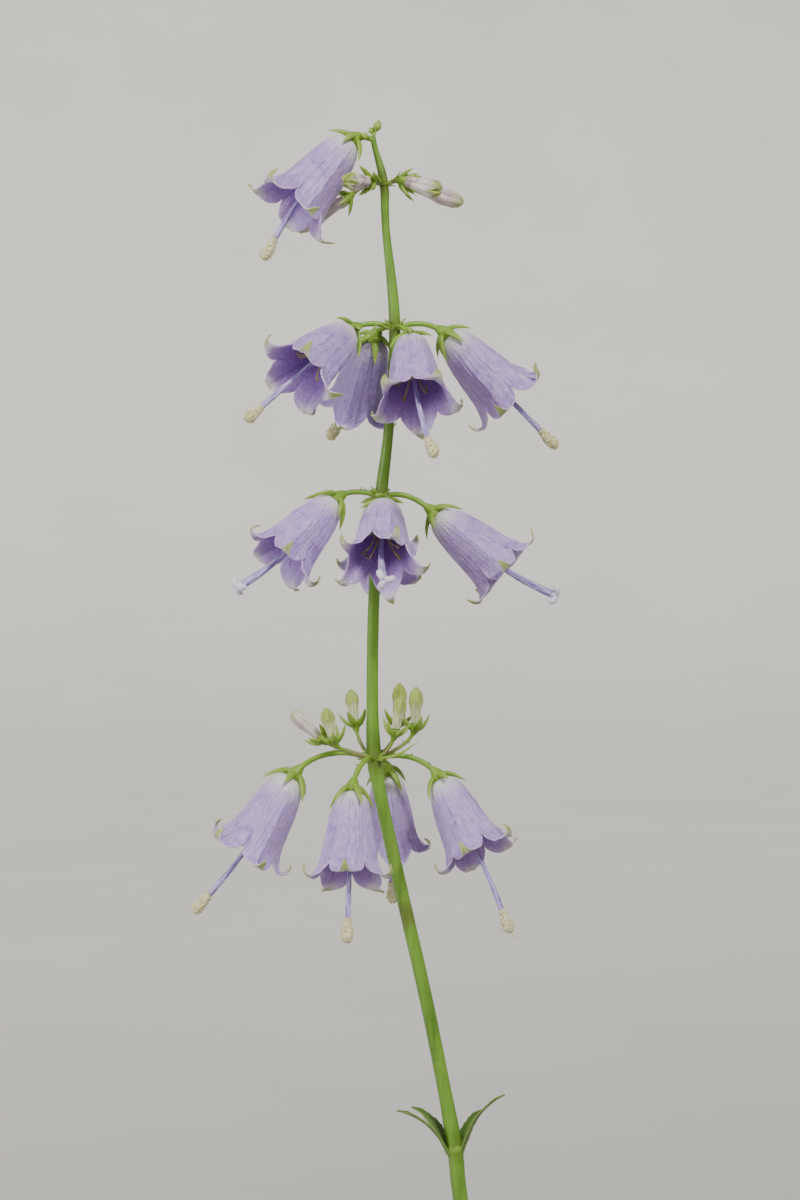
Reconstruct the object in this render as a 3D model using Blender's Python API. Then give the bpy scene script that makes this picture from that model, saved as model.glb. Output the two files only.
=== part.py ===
"""A cut ladybell stem standing in a plain glass bud vase of water.

Units are metres and +Z is up. The origin is the centre of the vase's foot, on the table.
+X runs to the right of the flower's front and +Y away from the person who looks at it.
"""

import math
import random

import bmesh
import bpy
from mathutils import Matrix, Vector

MM = 0.001
GAP = 0.3 * MM
UP = Vector((0.0, 0.0, 1.0))

# The vase: outer radius and height up the wall, then the wall and the floor.
VASE_SIDES = 24
VASE_HEIGHT = 130 * MM
VASE_WALL = 2.2 * MM
VASE_FLOOR = 7 * MM
VASE_FOOT_RADIUS = 18.2 * MM
VASE_OUTLINE = (
    (19.6 * MM, 2 * MM),
    (21.2 * MM, 16 * MM),
    (22.0 * MM, 34 * MM),
    (20.6 * MM, 54 * MM),
    (16.0 * MM, 76 * MM),
    (11.9 * MM, 93 * MM),
    (10.6 * MM, 107 * MM),
    (11.4 * MM, 120 * MM),
    (12.9 * MM, VASE_HEIGHT),
)
VASE_MOUTH_RADIUS = 10.9 * MM
WATER_LEVEL = 84 * MM

# The stem's line: how far it stands from the vase's axis, its height, and its radius.
STEM_SIDES = 8
STEM_STEP = 30 * MM
STEM_LINE = (
    (12.6 * MM, VASE_FLOOR + 2 * GAP, 1.72 * MM),
    (1.7 * MM, 70 * MM, 1.72 * MM),
    (-8.8 * MM, 130 * MM, 1.66 * MM),
    (-11.0 * MM, 147 * MM, 1.72 * MM),
    (-13.6 * MM, 161.5 * MM, 1.48 * MM),
    (-17.3 * MM, 180 * MM, 1.46 * MM),
    (-21.7 * MM, 199.3 * MM, 1.44 * MM),
    (-25.0 * MM, 214 * MM, 1.42 * MM),
    (-27.2 * MM, 224.5 * MM, 1.42 * MM),
    (-28.4 * MM, 231.8 * MM, 1.62 * MM),
    (-28.8 * MM, 244.5 * MM, 1.28 * MM),
    (-28.5 * MM, 266 * MM, 1.24 * MM),
    (-26.9 * MM, 288.4 * MM, 1.35 * MM),
    (-25.3 * MM, 302.5 * MM, 1.10 * MM),
    (-24.0 * MM, 324.5 * MM, 1.25 * MM),
    (-25.9 * MM, 345.5 * MM, 0.86 * MM),
    (-26.3 * MM, 355.2 * MM, 0.98 * MM),
    (-28.2 * MM, 362.6 * MM, 0.62 * MM),
    (-28.7 * MM, 365.2 * MM, 0.58 * MM),
)

# The places on the stem that flowers and leaves grow from.
NODES = {
    "tip": Vector((-28.6, 0.0, 364.8)) * MM,
    "whorl_1": Vector((-26.3, 0.0, 355.2)) * MM,
    "whorl_2": Vector((-24.0, 0.0, 324.5)) * MM,
    "whorl_3": Vector((-26.9, 0.0, 288.4)) * MM,
    "whorl_4": Vector((-28.4, 0.0, 231.8)) * MM,
    "leaves": Vector((-11.0, 0.0, 147.0)) * MM,
}

# An open flower: its name, the node that bears it, the place of the calyx's end from that
# node in millimetres, the way the mouth faces round the stem, how far the bell leans out
# from straight down, the turn of its lobes, the bell's size and relative width, the
# style's length in millimetres, how far it sweeps aside and which way, and what ends it.
FLOWERS = (
    ("1a", "tip", (-5.1, -0.5, -0.8), 204, 43, 47, 1.04, 0.96, 31.8, 6, 180, "pollen"),
    ("2a", "whorl_2", (-9.7, -3.6, -1.0), 226, 58, 27, 0.97, 1.00, 35.2, 0, 0, "pollen"),
    ("2b", "whorl_2", (-4.7, 4.9, -2.5), 108, 38, 0, 0.94, 1.02, 26.6, 13, 262, "pollen"),
    ("2c", "whorl_2", (3.4, -5.2, -2.7), 275, 42, 47, 0.97, 1.00, 32.8, 6, 270, "pollen"),
    ("2d", "whorl_2", (11.4, 0.8, -1.9), 8, 45, 44, 1.00, 0.98, 33.2, 0, 0, "pollen"),
    ("3a", "whorl_3", (-10.2, -1.8, -1.1), 210, 46, 8, 0.95, 0.99, 29.2, 9, 0, "stigma"),
    ("3b", "whorl_3", (0.7, -5.0, -1.9), 266, 50, 48, 1.00, 1.00, 29.0, 15, 340, "stigma"),
    ("3c", "whorl_3", (11.9, 0.4, -4.1), 355, 50, 8, 0.98, 0.98, 30.8, 9, 0, "stigma"),
    ("3d", "whorl_3", (-0.4, 5.2, -2.2), 88, 47, 50, 1.00, 0.95, 30.0, 6, 0, "stigma"),
    ("4a", "whorl_4", (-17.7, -0.8, -4.0), 180, 32, 30, 0.99, 1.00, 35.7, 5, 0, "pollen"),
    ("4b", "whorl_4", (-4.7, -9.0, -6.3), 265, 20, 0, 0.97, 0.98, 32.0, 0, 0, "pollen"),
    ("4c", "whorl_4", (2.7, 9.2, -4.2), 83, 19, 18, 0.94, 0.95, 31.0, 0, 0, "pollen"),
    ("4d", "whorl_4", (14.3, -1.0, -4.6), 325, 33, 0, 0.95, 1.00, 35.7, 4, 180, "pollen"),
)

# A bud: its name, its node, the place of the calyx's end from that node in millimetres,
# the way it points round the stem, how far it leans from straight down (over 90 it
# points up), and its length and greatest radius in millimetres.
BUDS = (
    ("1a", "whorl_1", (-3.5, -3.5, 0.0), 230, 88, 6.5, 1.95),
    ("1b", "whorl_1", (-8.5, 5.0, -3.2), 180, 58, 12.2, 1.80),
    ("1c", "whorl_1", (4.7, -1.6, 0.3), 340, 75, 7.5, 1.85),
    ("1d", "whorl_1", (5.4, 3.8, 0.0), 10, 72, 12.2, 1.85),
    ("4a", "whorl_4", (-11.9, -1.2, 4.8), 176, 132, 7.6, 1.55),
    ("4b", "whorl_4", (-9.0, -5.0, 5.1), 190, 167, 6.2, 1.50),
    ("4c", "whorl_4", (-4.3, 3.6, 8.0), 160, 172, 6.5, 1.45),
    ("4d", "whorl_4", (4.6, -3.2, 6.6), 340, 170, 7.2, 1.45),
    ("4e", "whorl_4", (5.1, 4.8, 8.0), 60, 176, 7.7, 1.60),
    ("4f", "whorl_4", (8.8, 0.8, 7.4), 0, 179, 7.8, 1.55),
)

# The calyx: a cone at the end of the flower's stalk, with five narrow sepals.
STALK_SIDES = 5
STALK_STEPS = 5
STALK_RADIUS = 0.58 * MM
CALYX_LENGTH = 3.3 * MM
CALYX_RADIUS = 1.75 * MM
SEPAL_LENGTH = 4.3 * MM
SEPAL_RADIUS = 0.64 * MM
BUD_STALK_RADIUS = 0.40 * MM
BUD_CALYX_LENGTH = 2.6 * MM
BUD_CALYX_RADIUS = 1.25 * MM
BUD_SEPAL_LENGTH = 2.9 * MM
BUD_SEPAL_RADIUS = 0.46 * MM

# The bell: radius and depth of the middle of its wall, from the calyx to a lobe's tip.
LOBES = 5
BELL_COLUMNS = 20
BELL_ROWS = (0.0, 0.15, 0.36, 0.72, 0.92, 1.0)
BELL_WALL = 0.6 * MM
BELL_LINE = (
    (1.45 * MM, 0.66 * MM),
    (2.60 * MM, 1.05 * MM),
    (3.50 * MM, 2.30 * MM),
    (4.25 * MM, 4.60 * MM),
    (4.90 * MM, 7.80 * MM),
    (5.40 * MM, 11.2 * MM),
    (5.90 * MM, 14.5 * MM),
    (6.60 * MM, 17.0 * MM),
    (7.50 * MM, 18.9 * MM),
    (8.60 * MM, 19.8 * MM),
    (9.70 * MM, 19.4 * MM),
)
LOBE_START = 0.78
LOBE_POINT = 2.0
LOBE_KEEL = 0.05

# The style and what ends it.
STYLE_SIDES = 5
DISC_RADIUS = 0.95 * MM
DISC_HEIGHT = 1.9 * MM
STYLE_RADIUS = 0.38 * MM
STYLE_END_RADIUS = 0.62 * MM
STIGMA_STYLE_END_RADIUS = 0.85 * MM
POLLEN_LENGTH = 5.0 * MM
POLLEN_RADIUS = 1.35 * MM
STIGMA_LOBES = 3
STIGMA_LENGTH = 2.3 * MM
STIGMA_RADIUS = 0.66 * MM

# The filaments of the spent stamens, inside the bell.
STAMENS = 5
STAMEN_LENGTH = 8.5 * MM
STAMEN_RADIUS = 0.32 * MM

# The bracts: the whorl, how many stand round it, and the way the first one points.
BRACTS = (("whorl_1", 4, 55), ("whorl_2", 5, 20), ("whorl_3", 6, 0), ("whorl_4", 6, 15))

# The four small leaves: the way each points, its length, half width and rise.
LEAF_THICKNESS = 0.6 * MM
LEAF_STEPS = 8
LEAVES = (
    (196, 16.5 * MM, 1.00 * MM, 46),
    (150, 14.0 * MM, 1.45 * MM, 48),
    (40, 11.5 * MM, 1.35 * MM, 55),
    (340, 17.5 * MM, 0.90 * MM, 60),
)


def clear_scene():
    for old in list(bpy.data.objects):
        bpy.data.objects.remove(old, do_unlink=True)


def material(name, colour, roughness, transmission=0.0):
    made = bpy.data.materials.new(name)
    made.use_nodes = True
    shader = made.node_tree.nodes["Principled BSDF"]
    shader.inputs["Base Color"].default_value = (*colour, 1.0)
    shader.inputs["Roughness"].default_value = roughness
    shader.inputs["Metallic"].default_value = 0.0
    shader.inputs["Transmission Weight"].default_value = transmission
    return made


def add_object(name, bm, finish=None, parent=None, collection=None):
    """Makes an object of a bmesh whose faces are triangles, and turns its faces outwards."""
    bmesh.ops.triangulate(bm, faces=bm.faces[:])
    bmesh.ops.recalc_face_normals(bm, faces=bm.faces[:])
    mesh = bpy.data.meshes.new(name)
    bm.to_mesh(mesh)
    bm.free()
    made = bpy.data.objects.new(name, mesh)
    (collection or bpy.context.scene.collection).objects.link(made)
    if finish:
        mesh.materials.append(finish)
        mesh.shade_smooth()
        mesh.set_sharp_from_angle(angle=math.radians(50))
    if parent:
        made.parent = parent
    return made


def smooth_line(points, share):
    """The place at a share of the way along a smooth curve through the points."""
    points = [Vector(point) for point in points]
    spans = [(b - a).length for a, b in zip(points, points[1:])]
    along = share * sum(spans)
    index = 0
    while index < len(spans) - 1 and along > spans[index]:
        along -= spans[index]
        index += 1
    t = min(1.0, along / spans[index])
    p1, p2 = points[index], points[index + 1]
    p0 = points[index - 1] if index else 2 * p1 - p2
    p3 = points[index + 2] if index + 2 < len(points) else 2 * p2 - p1
    return 0.5 * (
        2 * p1
        + (p2 - p0) * t
        + (2 * p0 - 5 * p1 + 4 * p2 - p3) * t * t
        + (3 * p1 - p0 - 3 * p2 + p3) * t**3
    )


def bent_line(start, leaving, end, arriving, steps):
    """Points from start to end that leave and arrive the given ways, which carry a length."""
    points = []
    for step in range(steps + 1):
        t = step / steps
        points.append(
            (2 * t**3 - 3 * t**2 + 1) * start
            + (t**3 - 2 * t**2 + t) * leaving
            + (3 * t**2 - 2 * t**3) * end
            + (t**3 - t**2) * arriving
        )
    return points


def direction(round_degrees, lean_degrees):
    """The way that points round_degrees about +Z and leans that far from straight down."""
    turn, lean = math.radians(round_degrees), math.radians(lean_degrees)
    return Vector(
        (math.sin(lean) * math.cos(turn), math.sin(lean) * math.sin(turn), -math.cos(lean))
    )


def hanging_frame(place, round_degrees, lean_degrees):
    """The frame of a flower: +Z out of its mouth and +X on its upper side."""
    out = direction(round_degrees, lean_degrees)
    upper = direction(round_degrees, lean_degrees + 90)
    across = out.cross(upper)
    turn = Matrix((upper, across, out)).transposed().to_4x4()
    return Matrix.Translation(place) @ turn


def tube(line, radii, sides, pointed=False, last_way=None):
    """A closed tube of varying radius along a line, with a point or a face at its end."""
    bm = bmesh.new()
    rings = []
    side = None
    last = len(line) - 1
    for index, centre in enumerate(line):
        along = (line[min(index + 1, last)] - line[max(index - 1, 0)]).normalized()
        if index == last and last_way:
            along = last_way
        if side is None:
            side = along.orthogonal()
        side = (side - along * side.dot(along)).normalized()
        across = along.cross(side)
        if pointed and index == last:
            rings.append([bm.verts.new(centre)])
            continue
        ring = []
        for corner in range(sides):
            angle = math.tau * corner / sides
            out = side * math.cos(angle) + across * math.sin(angle)
            ring.append(bm.verts.new(centre + out * radii[index]))
        rings.append(ring)
    for lower, upper in zip(rings, rings[1:]):
        for corner in range(sides):
            after = (corner + 1) % sides
            if len(upper) == 1:
                bm.faces.new((lower[corner], lower[after], upper[0]))
            else:
                bm.faces.new((lower[corner], lower[after], upper[after], upper[corner]))
    bm.faces.new(rings[0][::-1])
    if not pointed:
        bm.faces.new(rings[-1])
    return bm


def moved(bm, matrix):
    bmesh.ops.transform(bm, matrix=matrix, verts=bm.verts[:])
    return bm


def fuse(target, parts):
    """Joins the objects of a collection to the target as one body, and removes them."""
    union = target.modifiers.new("one_body", "BOOLEAN")
    union.operation = "UNION"
    union.operand_type = "COLLECTION"
    union.collection = parts
    union.solver = "EXACT"
    bpy.context.view_layer.update()
    bpy.context.view_layer.objects.active = target
    with bpy.context.temp_override(object=target, active_object=target):
        bpy.ops.object.modifier_apply(modifier=union.name)
    for part in list(parts.objects):
        bpy.data.objects.remove(part, do_unlink=True)
    bpy.data.collections.remove(parts)


def parts_collection(name):
    made = bpy.data.collections.new(name)
    bpy.context.scene.collection.children.link(made)
    return made


def stem_line():
    """Points and radii along the main stem, a step apart, with one at each of its bends."""
    route = [Vector((x, 0.0, z)) for x, z, _ in STEM_LINE]
    spans = [(b - a).length for a, b in zip(route, route[1:])]
    line, radii = [], []
    passed = 0.0
    for index, span in enumerate(spans):
        steps = max(1, round(span / STEM_STEP))
        for step in range(steps):
            t = step / steps
            line.append(smooth_line(route, (passed + span * t) / sum(spans)))
            radii.append(STEM_LINE[index][2] * (1 - t) + STEM_LINE[index + 1][2] * t)
        passed += span
    line.append(route[-1])
    radii.append(STEM_LINE[-1][2])
    return line, radii


def stalk_line(node, place, out):
    """The line of a flower's stalk, from inside the main stem to the end of its calyx."""
    start = NODES[node].copy()
    reach = Vector((place.x - start.x, place.y - start.y, 0.0))
    length = (place - start).length
    leaving = (reach.normalized() + 0.35 * UP) * length * 1.1
    return bent_line(start, leaving, place, out * length, STALK_STEPS)


def calyx_radii(line, thin, length, wide):
    """Radii of a stalk that swells into the calyx over its last stretch."""
    radii = []
    for index in range(len(line)):
        left = sum((b - a).length for a, b in zip(line[index:], line[index + 1 :]))
        share = max(0.0, 1 - left / length)
        radii.append(thin + (wide - thin) * share**0.8)
    return radii


def sepal(frame, angle, root, length, thick, rise):
    """One narrow sepal that springs from the calyx's rim and arches over the bell."""
    turn = Matrix.Rotation(angle, 4, "Z")
    line = [
        Vector((root * 0.50, 0.0, -1.0 * MM)),
        Vector((root + length * 0.48, 0.0, -0.55 * MM + rise * 0.30)),
        Vector((root + length * 0.84, 0.0, rise)),
    ]
    radii = [thick, thick * 0.85, 0.0]
    return moved(tube(line, radii, 3, pointed=True), frame @ turn)


def add_stalk(parts, name, node, offset, face, lean, first, sizes, pick):
    """The stalk, calyx and sepals of one flower or bud, added to the parts of the stem.

    The first sepal stands at the angle first about the flower's axis.
    """
    thin, calyx_length, calyx_radius, sepal_length, sepal_radius, rises = sizes
    place = NODES[node] + Vector(offset) * MM
    out = direction(face, lean)
    line = stalk_line(node, place, out)
    radii = calyx_radii(line, thin, calyx_length, calyx_radius)
    stalk = tube(line, radii, STALK_SIDES, last_way=out)
    add_object(f"stalk_{name}", stalk, collection=parts)
    frame = hanging_frame(place, face, lean)
    for number in range(LOBES):
        angle = first + math.tau * number / LOBES + pick.uniform(-0.12, 0.12)
        rise = pick.uniform(*rises)
        length = sepal_length * pick.uniform(0.85, 1.12)
        blade = sepal(frame, angle, calyx_radius, length, sepal_radius, rise)
        add_object(f"sepal_{name}_{number}", blade, collection=parts)


def leaf(angle, length, half_width, rise):
    """A narrow toothed leaf with an even thickness, arched outwards from the stem."""
    bm = bmesh.new()
    rows = []
    lift = math.radians(rise)
    for step in range(LEAF_STEPS + 1):
        t = step / LEAF_STEPS
        out = length * (math.cos(lift) * t + 0.10 * t * t)
        up = length * (math.sin(lift) * t - 0.16 * t * t)
        tooth = 1.22 if step in (3, 5) else 1.0
        width = half_width * tooth * (math.sin(math.pi * min(1.0, 0.16 + 0.84 * t)) ** 0.8)
        width = max(width, 0.16 * MM)
        row = []
        for across, fold in ((-width, 0.30), (0.0, 0.0), (width, 0.30)):
            middle = Vector((out, across, up + abs(across) * fold))
            row.append(
                [
                    bm.verts.new(middle + UP * LEAF_THICKNESS * half)
                    for half in (-0.5, 0.5)
                ]
            )
        rows.append(row)
    for near, far in zip(rows, rows[1:]):
        for left in (0, 1):
            right = left + 1
            for side in (0, 1):
                a, b = near[left][side], near[right][side]
                c, d = far[right][side], far[left][side]
                bm.faces.new((a, b, c))
                bm.faces.new((a, c, d))
        for edge in (0, 2):
            a, b = near[edge]
            d, c = far[edge]
            bm.faces.new((a, b, c))
            bm.faces.new((a, c, d))
    for end in (rows[0], rows[-1]):
        for left in (0, 1):
            bm.faces.new((end[left][0], end[left + 1][0], end[left + 1][1], end[left][1]))
    turn = Matrix.Rotation(math.radians(angle), 4, "Z")
    return moved(bm, Matrix.Translation(NODES["leaves"]) @ turn)


def add_bracts(parts, pick):
    """The small pointed scales round each whorl."""
    for node, count, first in BRACTS:
        for number in range(count):
            angle = math.radians(first + 360 * number / count) + pick.uniform(-0.2, 0.2)
            length = pick.uniform(3.0, 4.4) * MM
            lift = pick.uniform(-0.15, 0.75)
            side = Vector((math.cos(angle), math.sin(angle), 0.0))
            start = NODES[node] + Vector((0.0, 0.0, -0.3 * MM))
            line = [
                start + side * 0.4 * MM,
                start + (side + UP * lift * 0.6) * length * 0.6,
                start + (side + UP * lift) * length,
            ]
            bract = tube(line, [0.5 * MM, 0.42 * MM, 0.0], 3, pointed=True)
            add_object(f"bract_{node}_{number}", bract, collection=parts)


def add_tip_buds(parts):
    """The three green buds, a few millimetres long, at the stem's tip."""
    start = NODES["tip"]
    for number, (way, length, radius) in enumerate(
        (
            (Vector((0.32, 0.05, 0.94)), 3.6 * MM, 0.76 * MM),
            (Vector((-0.20, 0.40, 0.90)), 2.4 * MM, 0.52 * MM),
            (Vector((-0.80, -0.40, 0.20)), 3.0 * MM, 0.70 * MM),
        )
    ):
        line = [start + way * length * share for share in (0.0, 0.3, 0.7, 1.0)]
        radii = [0.35 * MM, radius * 0.8, radius, 0.0]
        bud = tube(line, radii, 5, pointed=True)
        add_object(f"tip_bud_{number}", bud, collection=parts)


def build_flower_stalk(green):
    """The main stem with its leaves, bracts, flower stalks and calyces, all one body."""
    line, radii = stem_line()
    stem = add_object("flower_stalk", tube(line, radii, STEM_SIDES), green)
    parts = parts_collection("flower_stalk_parts")
    pick = random.Random(4)
    open_sizes = (
        STALK_RADIUS,
        CALYX_LENGTH,
        CALYX_RADIUS,
        SEPAL_LENGTH,
        SEPAL_RADIUS,
        (1.2 * MM, 3.4 * MM),
    )
    bud_sizes = (
        BUD_STALK_RADIUS,
        BUD_CALYX_LENGTH,
        BUD_CALYX_RADIUS,
        BUD_SEPAL_LENGTH,
        BUD_SEPAL_RADIUS,
        (1.0 * MM, 2.2 * MM),
    )
    for name, node, offset, face, lean, roll, *_ in FLOWERS:
        between_lobes = math.radians(roll) + math.pi / LOBES
        add_stalk(parts, name, node, offset, face, lean, between_lobes, open_sizes, pick)
    for name, node, offset, face, lean, *_ in BUDS:
        first = pick.uniform(0, math.tau)
        add_stalk(parts, f"bud_{name}", node, offset, face, lean, first, bud_sizes, pick)
    for number, (angle, length, half_width, rise) in enumerate(LEAVES):
        add_object(f"leaf_{number}", leaf(angle, length, half_width, rise), collection=parts)
    add_bracts(parts, pick)
    add_tip_buds(parts)
    fuse(stem, parts)


def lobe_edge(share):
    """How far down the bell's line its edge lies, at a share of the way round a lobe."""
    from_tip = abs(2 * share - 1)
    return LOBE_START + (1 - LOBE_START) * (1 - from_tip) ** (1 / LOBE_POINT)


def corolla(size, width, roll):
    """A bell of one wall with five pointed lobes, open at its mouth and at the calyx."""
    bm = bmesh.new()
    line = [Vector((radius, depth)) * size for radius, depth in BELL_LINE]
    outer, inner = [], []
    for row in BELL_ROWS:
        outer_ring, inner_ring = [], []
        for column in range(BELL_COLUMNS):
            share = (column * LOBES / BELL_COLUMNS) % 1.0
            along = row * lobe_edge(share)
            here = smooth_line(line, along)
            step = smooth_line(line, min(1.0, along + 0.01)) - smooth_line(
                line, max(0.0, along - 0.01)
            )
            normal = Vector((step.y, -step.x)).normalized()
            angle = math.radians(roll) + math.tau * (column / BELL_COLUMNS) - math.pi / LOBES
            keel = 1 - LOBE_KEEL * row * math.cos(math.tau * share)
            for ring, way in ((outer_ring, 0.5), (inner_ring, -0.5)):
                point = here + normal * BELL_WALL * way
                radius = point.x * keel * width
                spot = (radius * math.cos(angle), radius * math.sin(angle), point.y)
                ring.append(bm.verts.new(spot))
        outer.append(outer_ring)
        inner.append(inner_ring)
    for skin in (outer, inner):
        for upper, lower in zip(skin, skin[1:]):
            for column in range(BELL_COLUMNS):
                after = (column + 1) % BELL_COLUMNS
                a, b, c, d = upper[column], upper[after], lower[after], lower[column]
                if (column * LOBES * 2 // BELL_COLUMNS) % 2:
                    bm.faces.new((a, b, d))
                    bm.faces.new((b, c, d))
                else:
                    bm.faces.new((a, b, c))
                    bm.faces.new((a, c, d))
    for end in (0, -1):
        for column in range(BELL_COLUMNS):
            after = (column + 1) % BELL_COLUMNS
            bm.faces.new(
                (outer[end][column], outer[end][after], inner[end][after], inner[end][column])
            )
    return bm


def style_line(length, sweep, way):
    """The style's line in the flower's frame: straight out, then swept aside."""
    bend_start = 0.35
    aside = Vector((math.cos(math.radians(way)), math.sin(math.radians(way)), 0.0))
    line = []
    for share in (0.0, 0.06, 0.09, 0.42, 0.72, 1.0):
        past = max(0.0, share - bend_start) / (1 - bend_start)
        reach = length * (1 - bend_start) * math.tan(math.radians(sweep)) * past * past
        line.append(aside * reach + UP * (GAP + length * share))
    return line


def stamen(angle, droop):
    """One spent stamen, which stands out from the disc and curls down."""
    reach = STAMEN_LENGTH
    line = [
        Vector((0.5 * MM, 0.0, GAP + DISC_HEIGHT * 0.5)),
        Vector((1.3 * MM, 0.0, DISC_HEIGHT + reach * 0.45)),
        Vector((1.3 * MM + reach * 0.16, 0.0, DISC_HEIGHT + reach * droop)),
    ]
    radii = [STAMEN_RADIUS, STAMEN_RADIUS, 0.0]
    return moved(tube(line, radii, 3, pointed=True), Matrix.Rotation(angle, 4, "Z"))


def build_style(name, line, end_radius, lilac, parent):
    """The style on its disc, with the spent stamens round its foot."""
    radii = [DISC_RADIUS, DISC_RADIUS * 0.85, STYLE_RADIUS, STYLE_RADIUS]
    radii += [(STYLE_RADIUS + end_radius) / 2, end_radius]
    style = add_object(f"style_{name}", tube(line, radii, STYLE_SIDES), lilac, parent)
    parts = parts_collection(f"style_{name}_parts")
    for number in range(STAMENS):
        droop = 0.86 + 0.06 * math.cos(2.4 * number)
        thread = stamen(math.tau * (number + 0.25) / STAMENS, droop)
        add_object(f"stamen_{name}_{number}", thread, collection=parts, parent=parent)
    bpy.context.view_layer.update()
    fuse(style, parts)


def end_frame(line):
    """The frame at the end of a style, with +Z the way the style points."""
    out = (line[-1] - line[-2]).normalized()
    across = out.cross(Vector((1.0, 0.0, 0.0))).normalized()
    upper = across.cross(out)
    turn = Matrix((upper, across, out)).transposed().to_4x4()
    return Matrix.Translation(line[-1]) @ turn


def pollen_club():
    """The club of pollen on a young style."""
    shares = (0.0, 0.30, 0.75, 1.0)
    line = [Vector((0.0, 0.0, GAP + POLLEN_LENGTH * share)) for share in shares]
    radii = [POLLEN_RADIUS * share for share in (0.65, 1.0, 0.95, 0.45)]
    return tube(line, radii, 6)


def build_stigma(name, frame, cream, parent):
    """The open stigma of an older flower: three blunt lobes that curl back."""
    core = [Vector((0.0, 0.0, GAP + 0.9 * MM * share)) for share in (0.0, 1.0)]
    body = moved(tube(core, [0.75 * MM, 0.75 * MM], 6), frame)
    stigma = add_object(f"stigma_{name}", body, cream, parent)
    parts = parts_collection(f"stigma_{name}_parts")
    for number in range(STIGMA_LOBES):
        line = [
            Vector((0.1 * MM, 0.0, 0.75 * MM)),
            Vector((STIGMA_LENGTH * 0.60, 0.0, STIGMA_LENGTH * 0.42)),
            Vector((STIGMA_LENGTH * 0.95, 0.0, -STIGMA_LENGTH * 0.05)),
        ]
        radii = [STIGMA_RADIUS, STIGMA_RADIUS * 1.1, STIGMA_RADIUS * 0.6]
        turn = Matrix.Rotation(math.tau * number / STIGMA_LOBES + 0.5, 4, "Z")
        lobe = moved(tube(line, radii, 4), frame @ turn)
        add_object(f"stigma_{name}_{number}", lobe, collection=parts, parent=parent)
    bpy.context.view_layer.update()
    fuse(stigma, parts)


def build_flower(record, finishes):
    """The pieces of one open flower, hung on an empty at the end of its calyx."""
    name, node, offset, face, lean, roll, size, width, length, sweep, way, end = record
    place = NODES[node] + Vector(offset) * MM
    holder = bpy.data.objects.new(f"flower_{name}", None)
    bpy.context.scene.collection.objects.link(holder)
    holder.matrix_world = hanging_frame(place, face, lean)
    bpy.context.view_layer.update()
    add_object(f"corolla_{name}", corolla(size, width, roll), finishes["petal"], holder)
    end_radius = STYLE_END_RADIUS if end == "pollen" else STIGMA_STYLE_END_RADIUS
    tip = POLLEN_LENGTH if end == "pollen" else 1.2 * MM
    line = style_line(length * MM - tip, sweep, way)
    build_style(name, line, end_radius, finishes["style"], holder)
    if end == "pollen":
        club = moved(pollen_club(), end_frame(line))
        add_object(f"pollen_{name}", club, finishes["pollen"], holder)
    else:
        build_stigma(name, end_frame(line), finishes["stigma"], holder)


def build_bud(record, finish):
    """One closed bud with five ridges, seated on its calyx."""
    name, node, offset, face, lean, length, radius = record
    bm = bmesh.new()
    corners = 2 * LOBES
    rings = []
    outline = ((0.0, 0.62), (0.30, 0.76), (0.62, 1.0), (0.84, 0.84), (0.95, 0.44))
    for share, wide in outline:
        ring = []
        for corner in range(corners):
            ridge = 1.0 if corner % 2 else 0.90
            angle = math.tau * corner / corners
            reach = radius * MM * wide * ridge
            height = GAP + length * MM * share
            ring.append(
                bm.verts.new((reach * math.cos(angle), reach * math.sin(angle), height))
            )
        rings.append(ring)
    tip = bm.verts.new((0.0, 0.0, GAP + length * MM))
    for lower, upper in zip(rings, rings[1:]):
        for corner in range(corners):
            after = (corner + 1) % corners
            bm.faces.new((lower[corner], lower[after], upper[after], upper[corner]))
    for corner in range(corners):
        bm.faces.new((rings[-1][corner], rings[-1][(corner + 1) % corners], tip))
    bm.faces.new(rings[0][::-1])
    bud = add_object(f"bud_{name}", bm, finish)
    place = NODES[node] + Vector(offset) * MM
    bud.matrix_world = hanging_frame(place, face, lean)


def turned(name, profile, finish):
    """A solid turned about the vase's axis from a closed outline of radius and height."""
    mesh = bpy.data.meshes.new(name)
    points = [(radius, 0.0, height) for radius, height in profile]
    edges = [(index, index + 1) for index in range(len(points) - 1)]
    mesh.from_pydata(points, edges, [])
    made = bpy.data.objects.new(name, mesh)
    bpy.context.scene.collection.objects.link(made)
    screw = made.modifiers.new("turned", "SCREW")
    screw.steps = VASE_SIDES
    screw.render_steps = VASE_SIDES
    screw.use_merge_vertices = True
    screw.merge_threshold = 0.00001
    mesh.materials.append(finish)
    return made


def inner_outline(clear):
    """The vase's inner wall from the floor to the mouth, moved in by a clearance."""
    inner = [(17.0 * MM - clear, VASE_FLOOR + clear)]
    for radius, height in VASE_OUTLINE[1:-1]:
        inner.append((radius - VASE_WALL - clear, height))
    inner.append((VASE_MOUTH_RADIUS - clear, VASE_HEIGHT))
    return inner


def build_vase(glass):
    outside = [(0.0, 0.0), (VASE_FOOT_RADIUS, 0.0), *VASE_OUTLINE]
    inside = [*inner_outline(0.0)[::-1], (0.0, VASE_FLOOR)]
    profile = [*outside, *inside]
    turned("vase", profile[::-1], glass)


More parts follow.
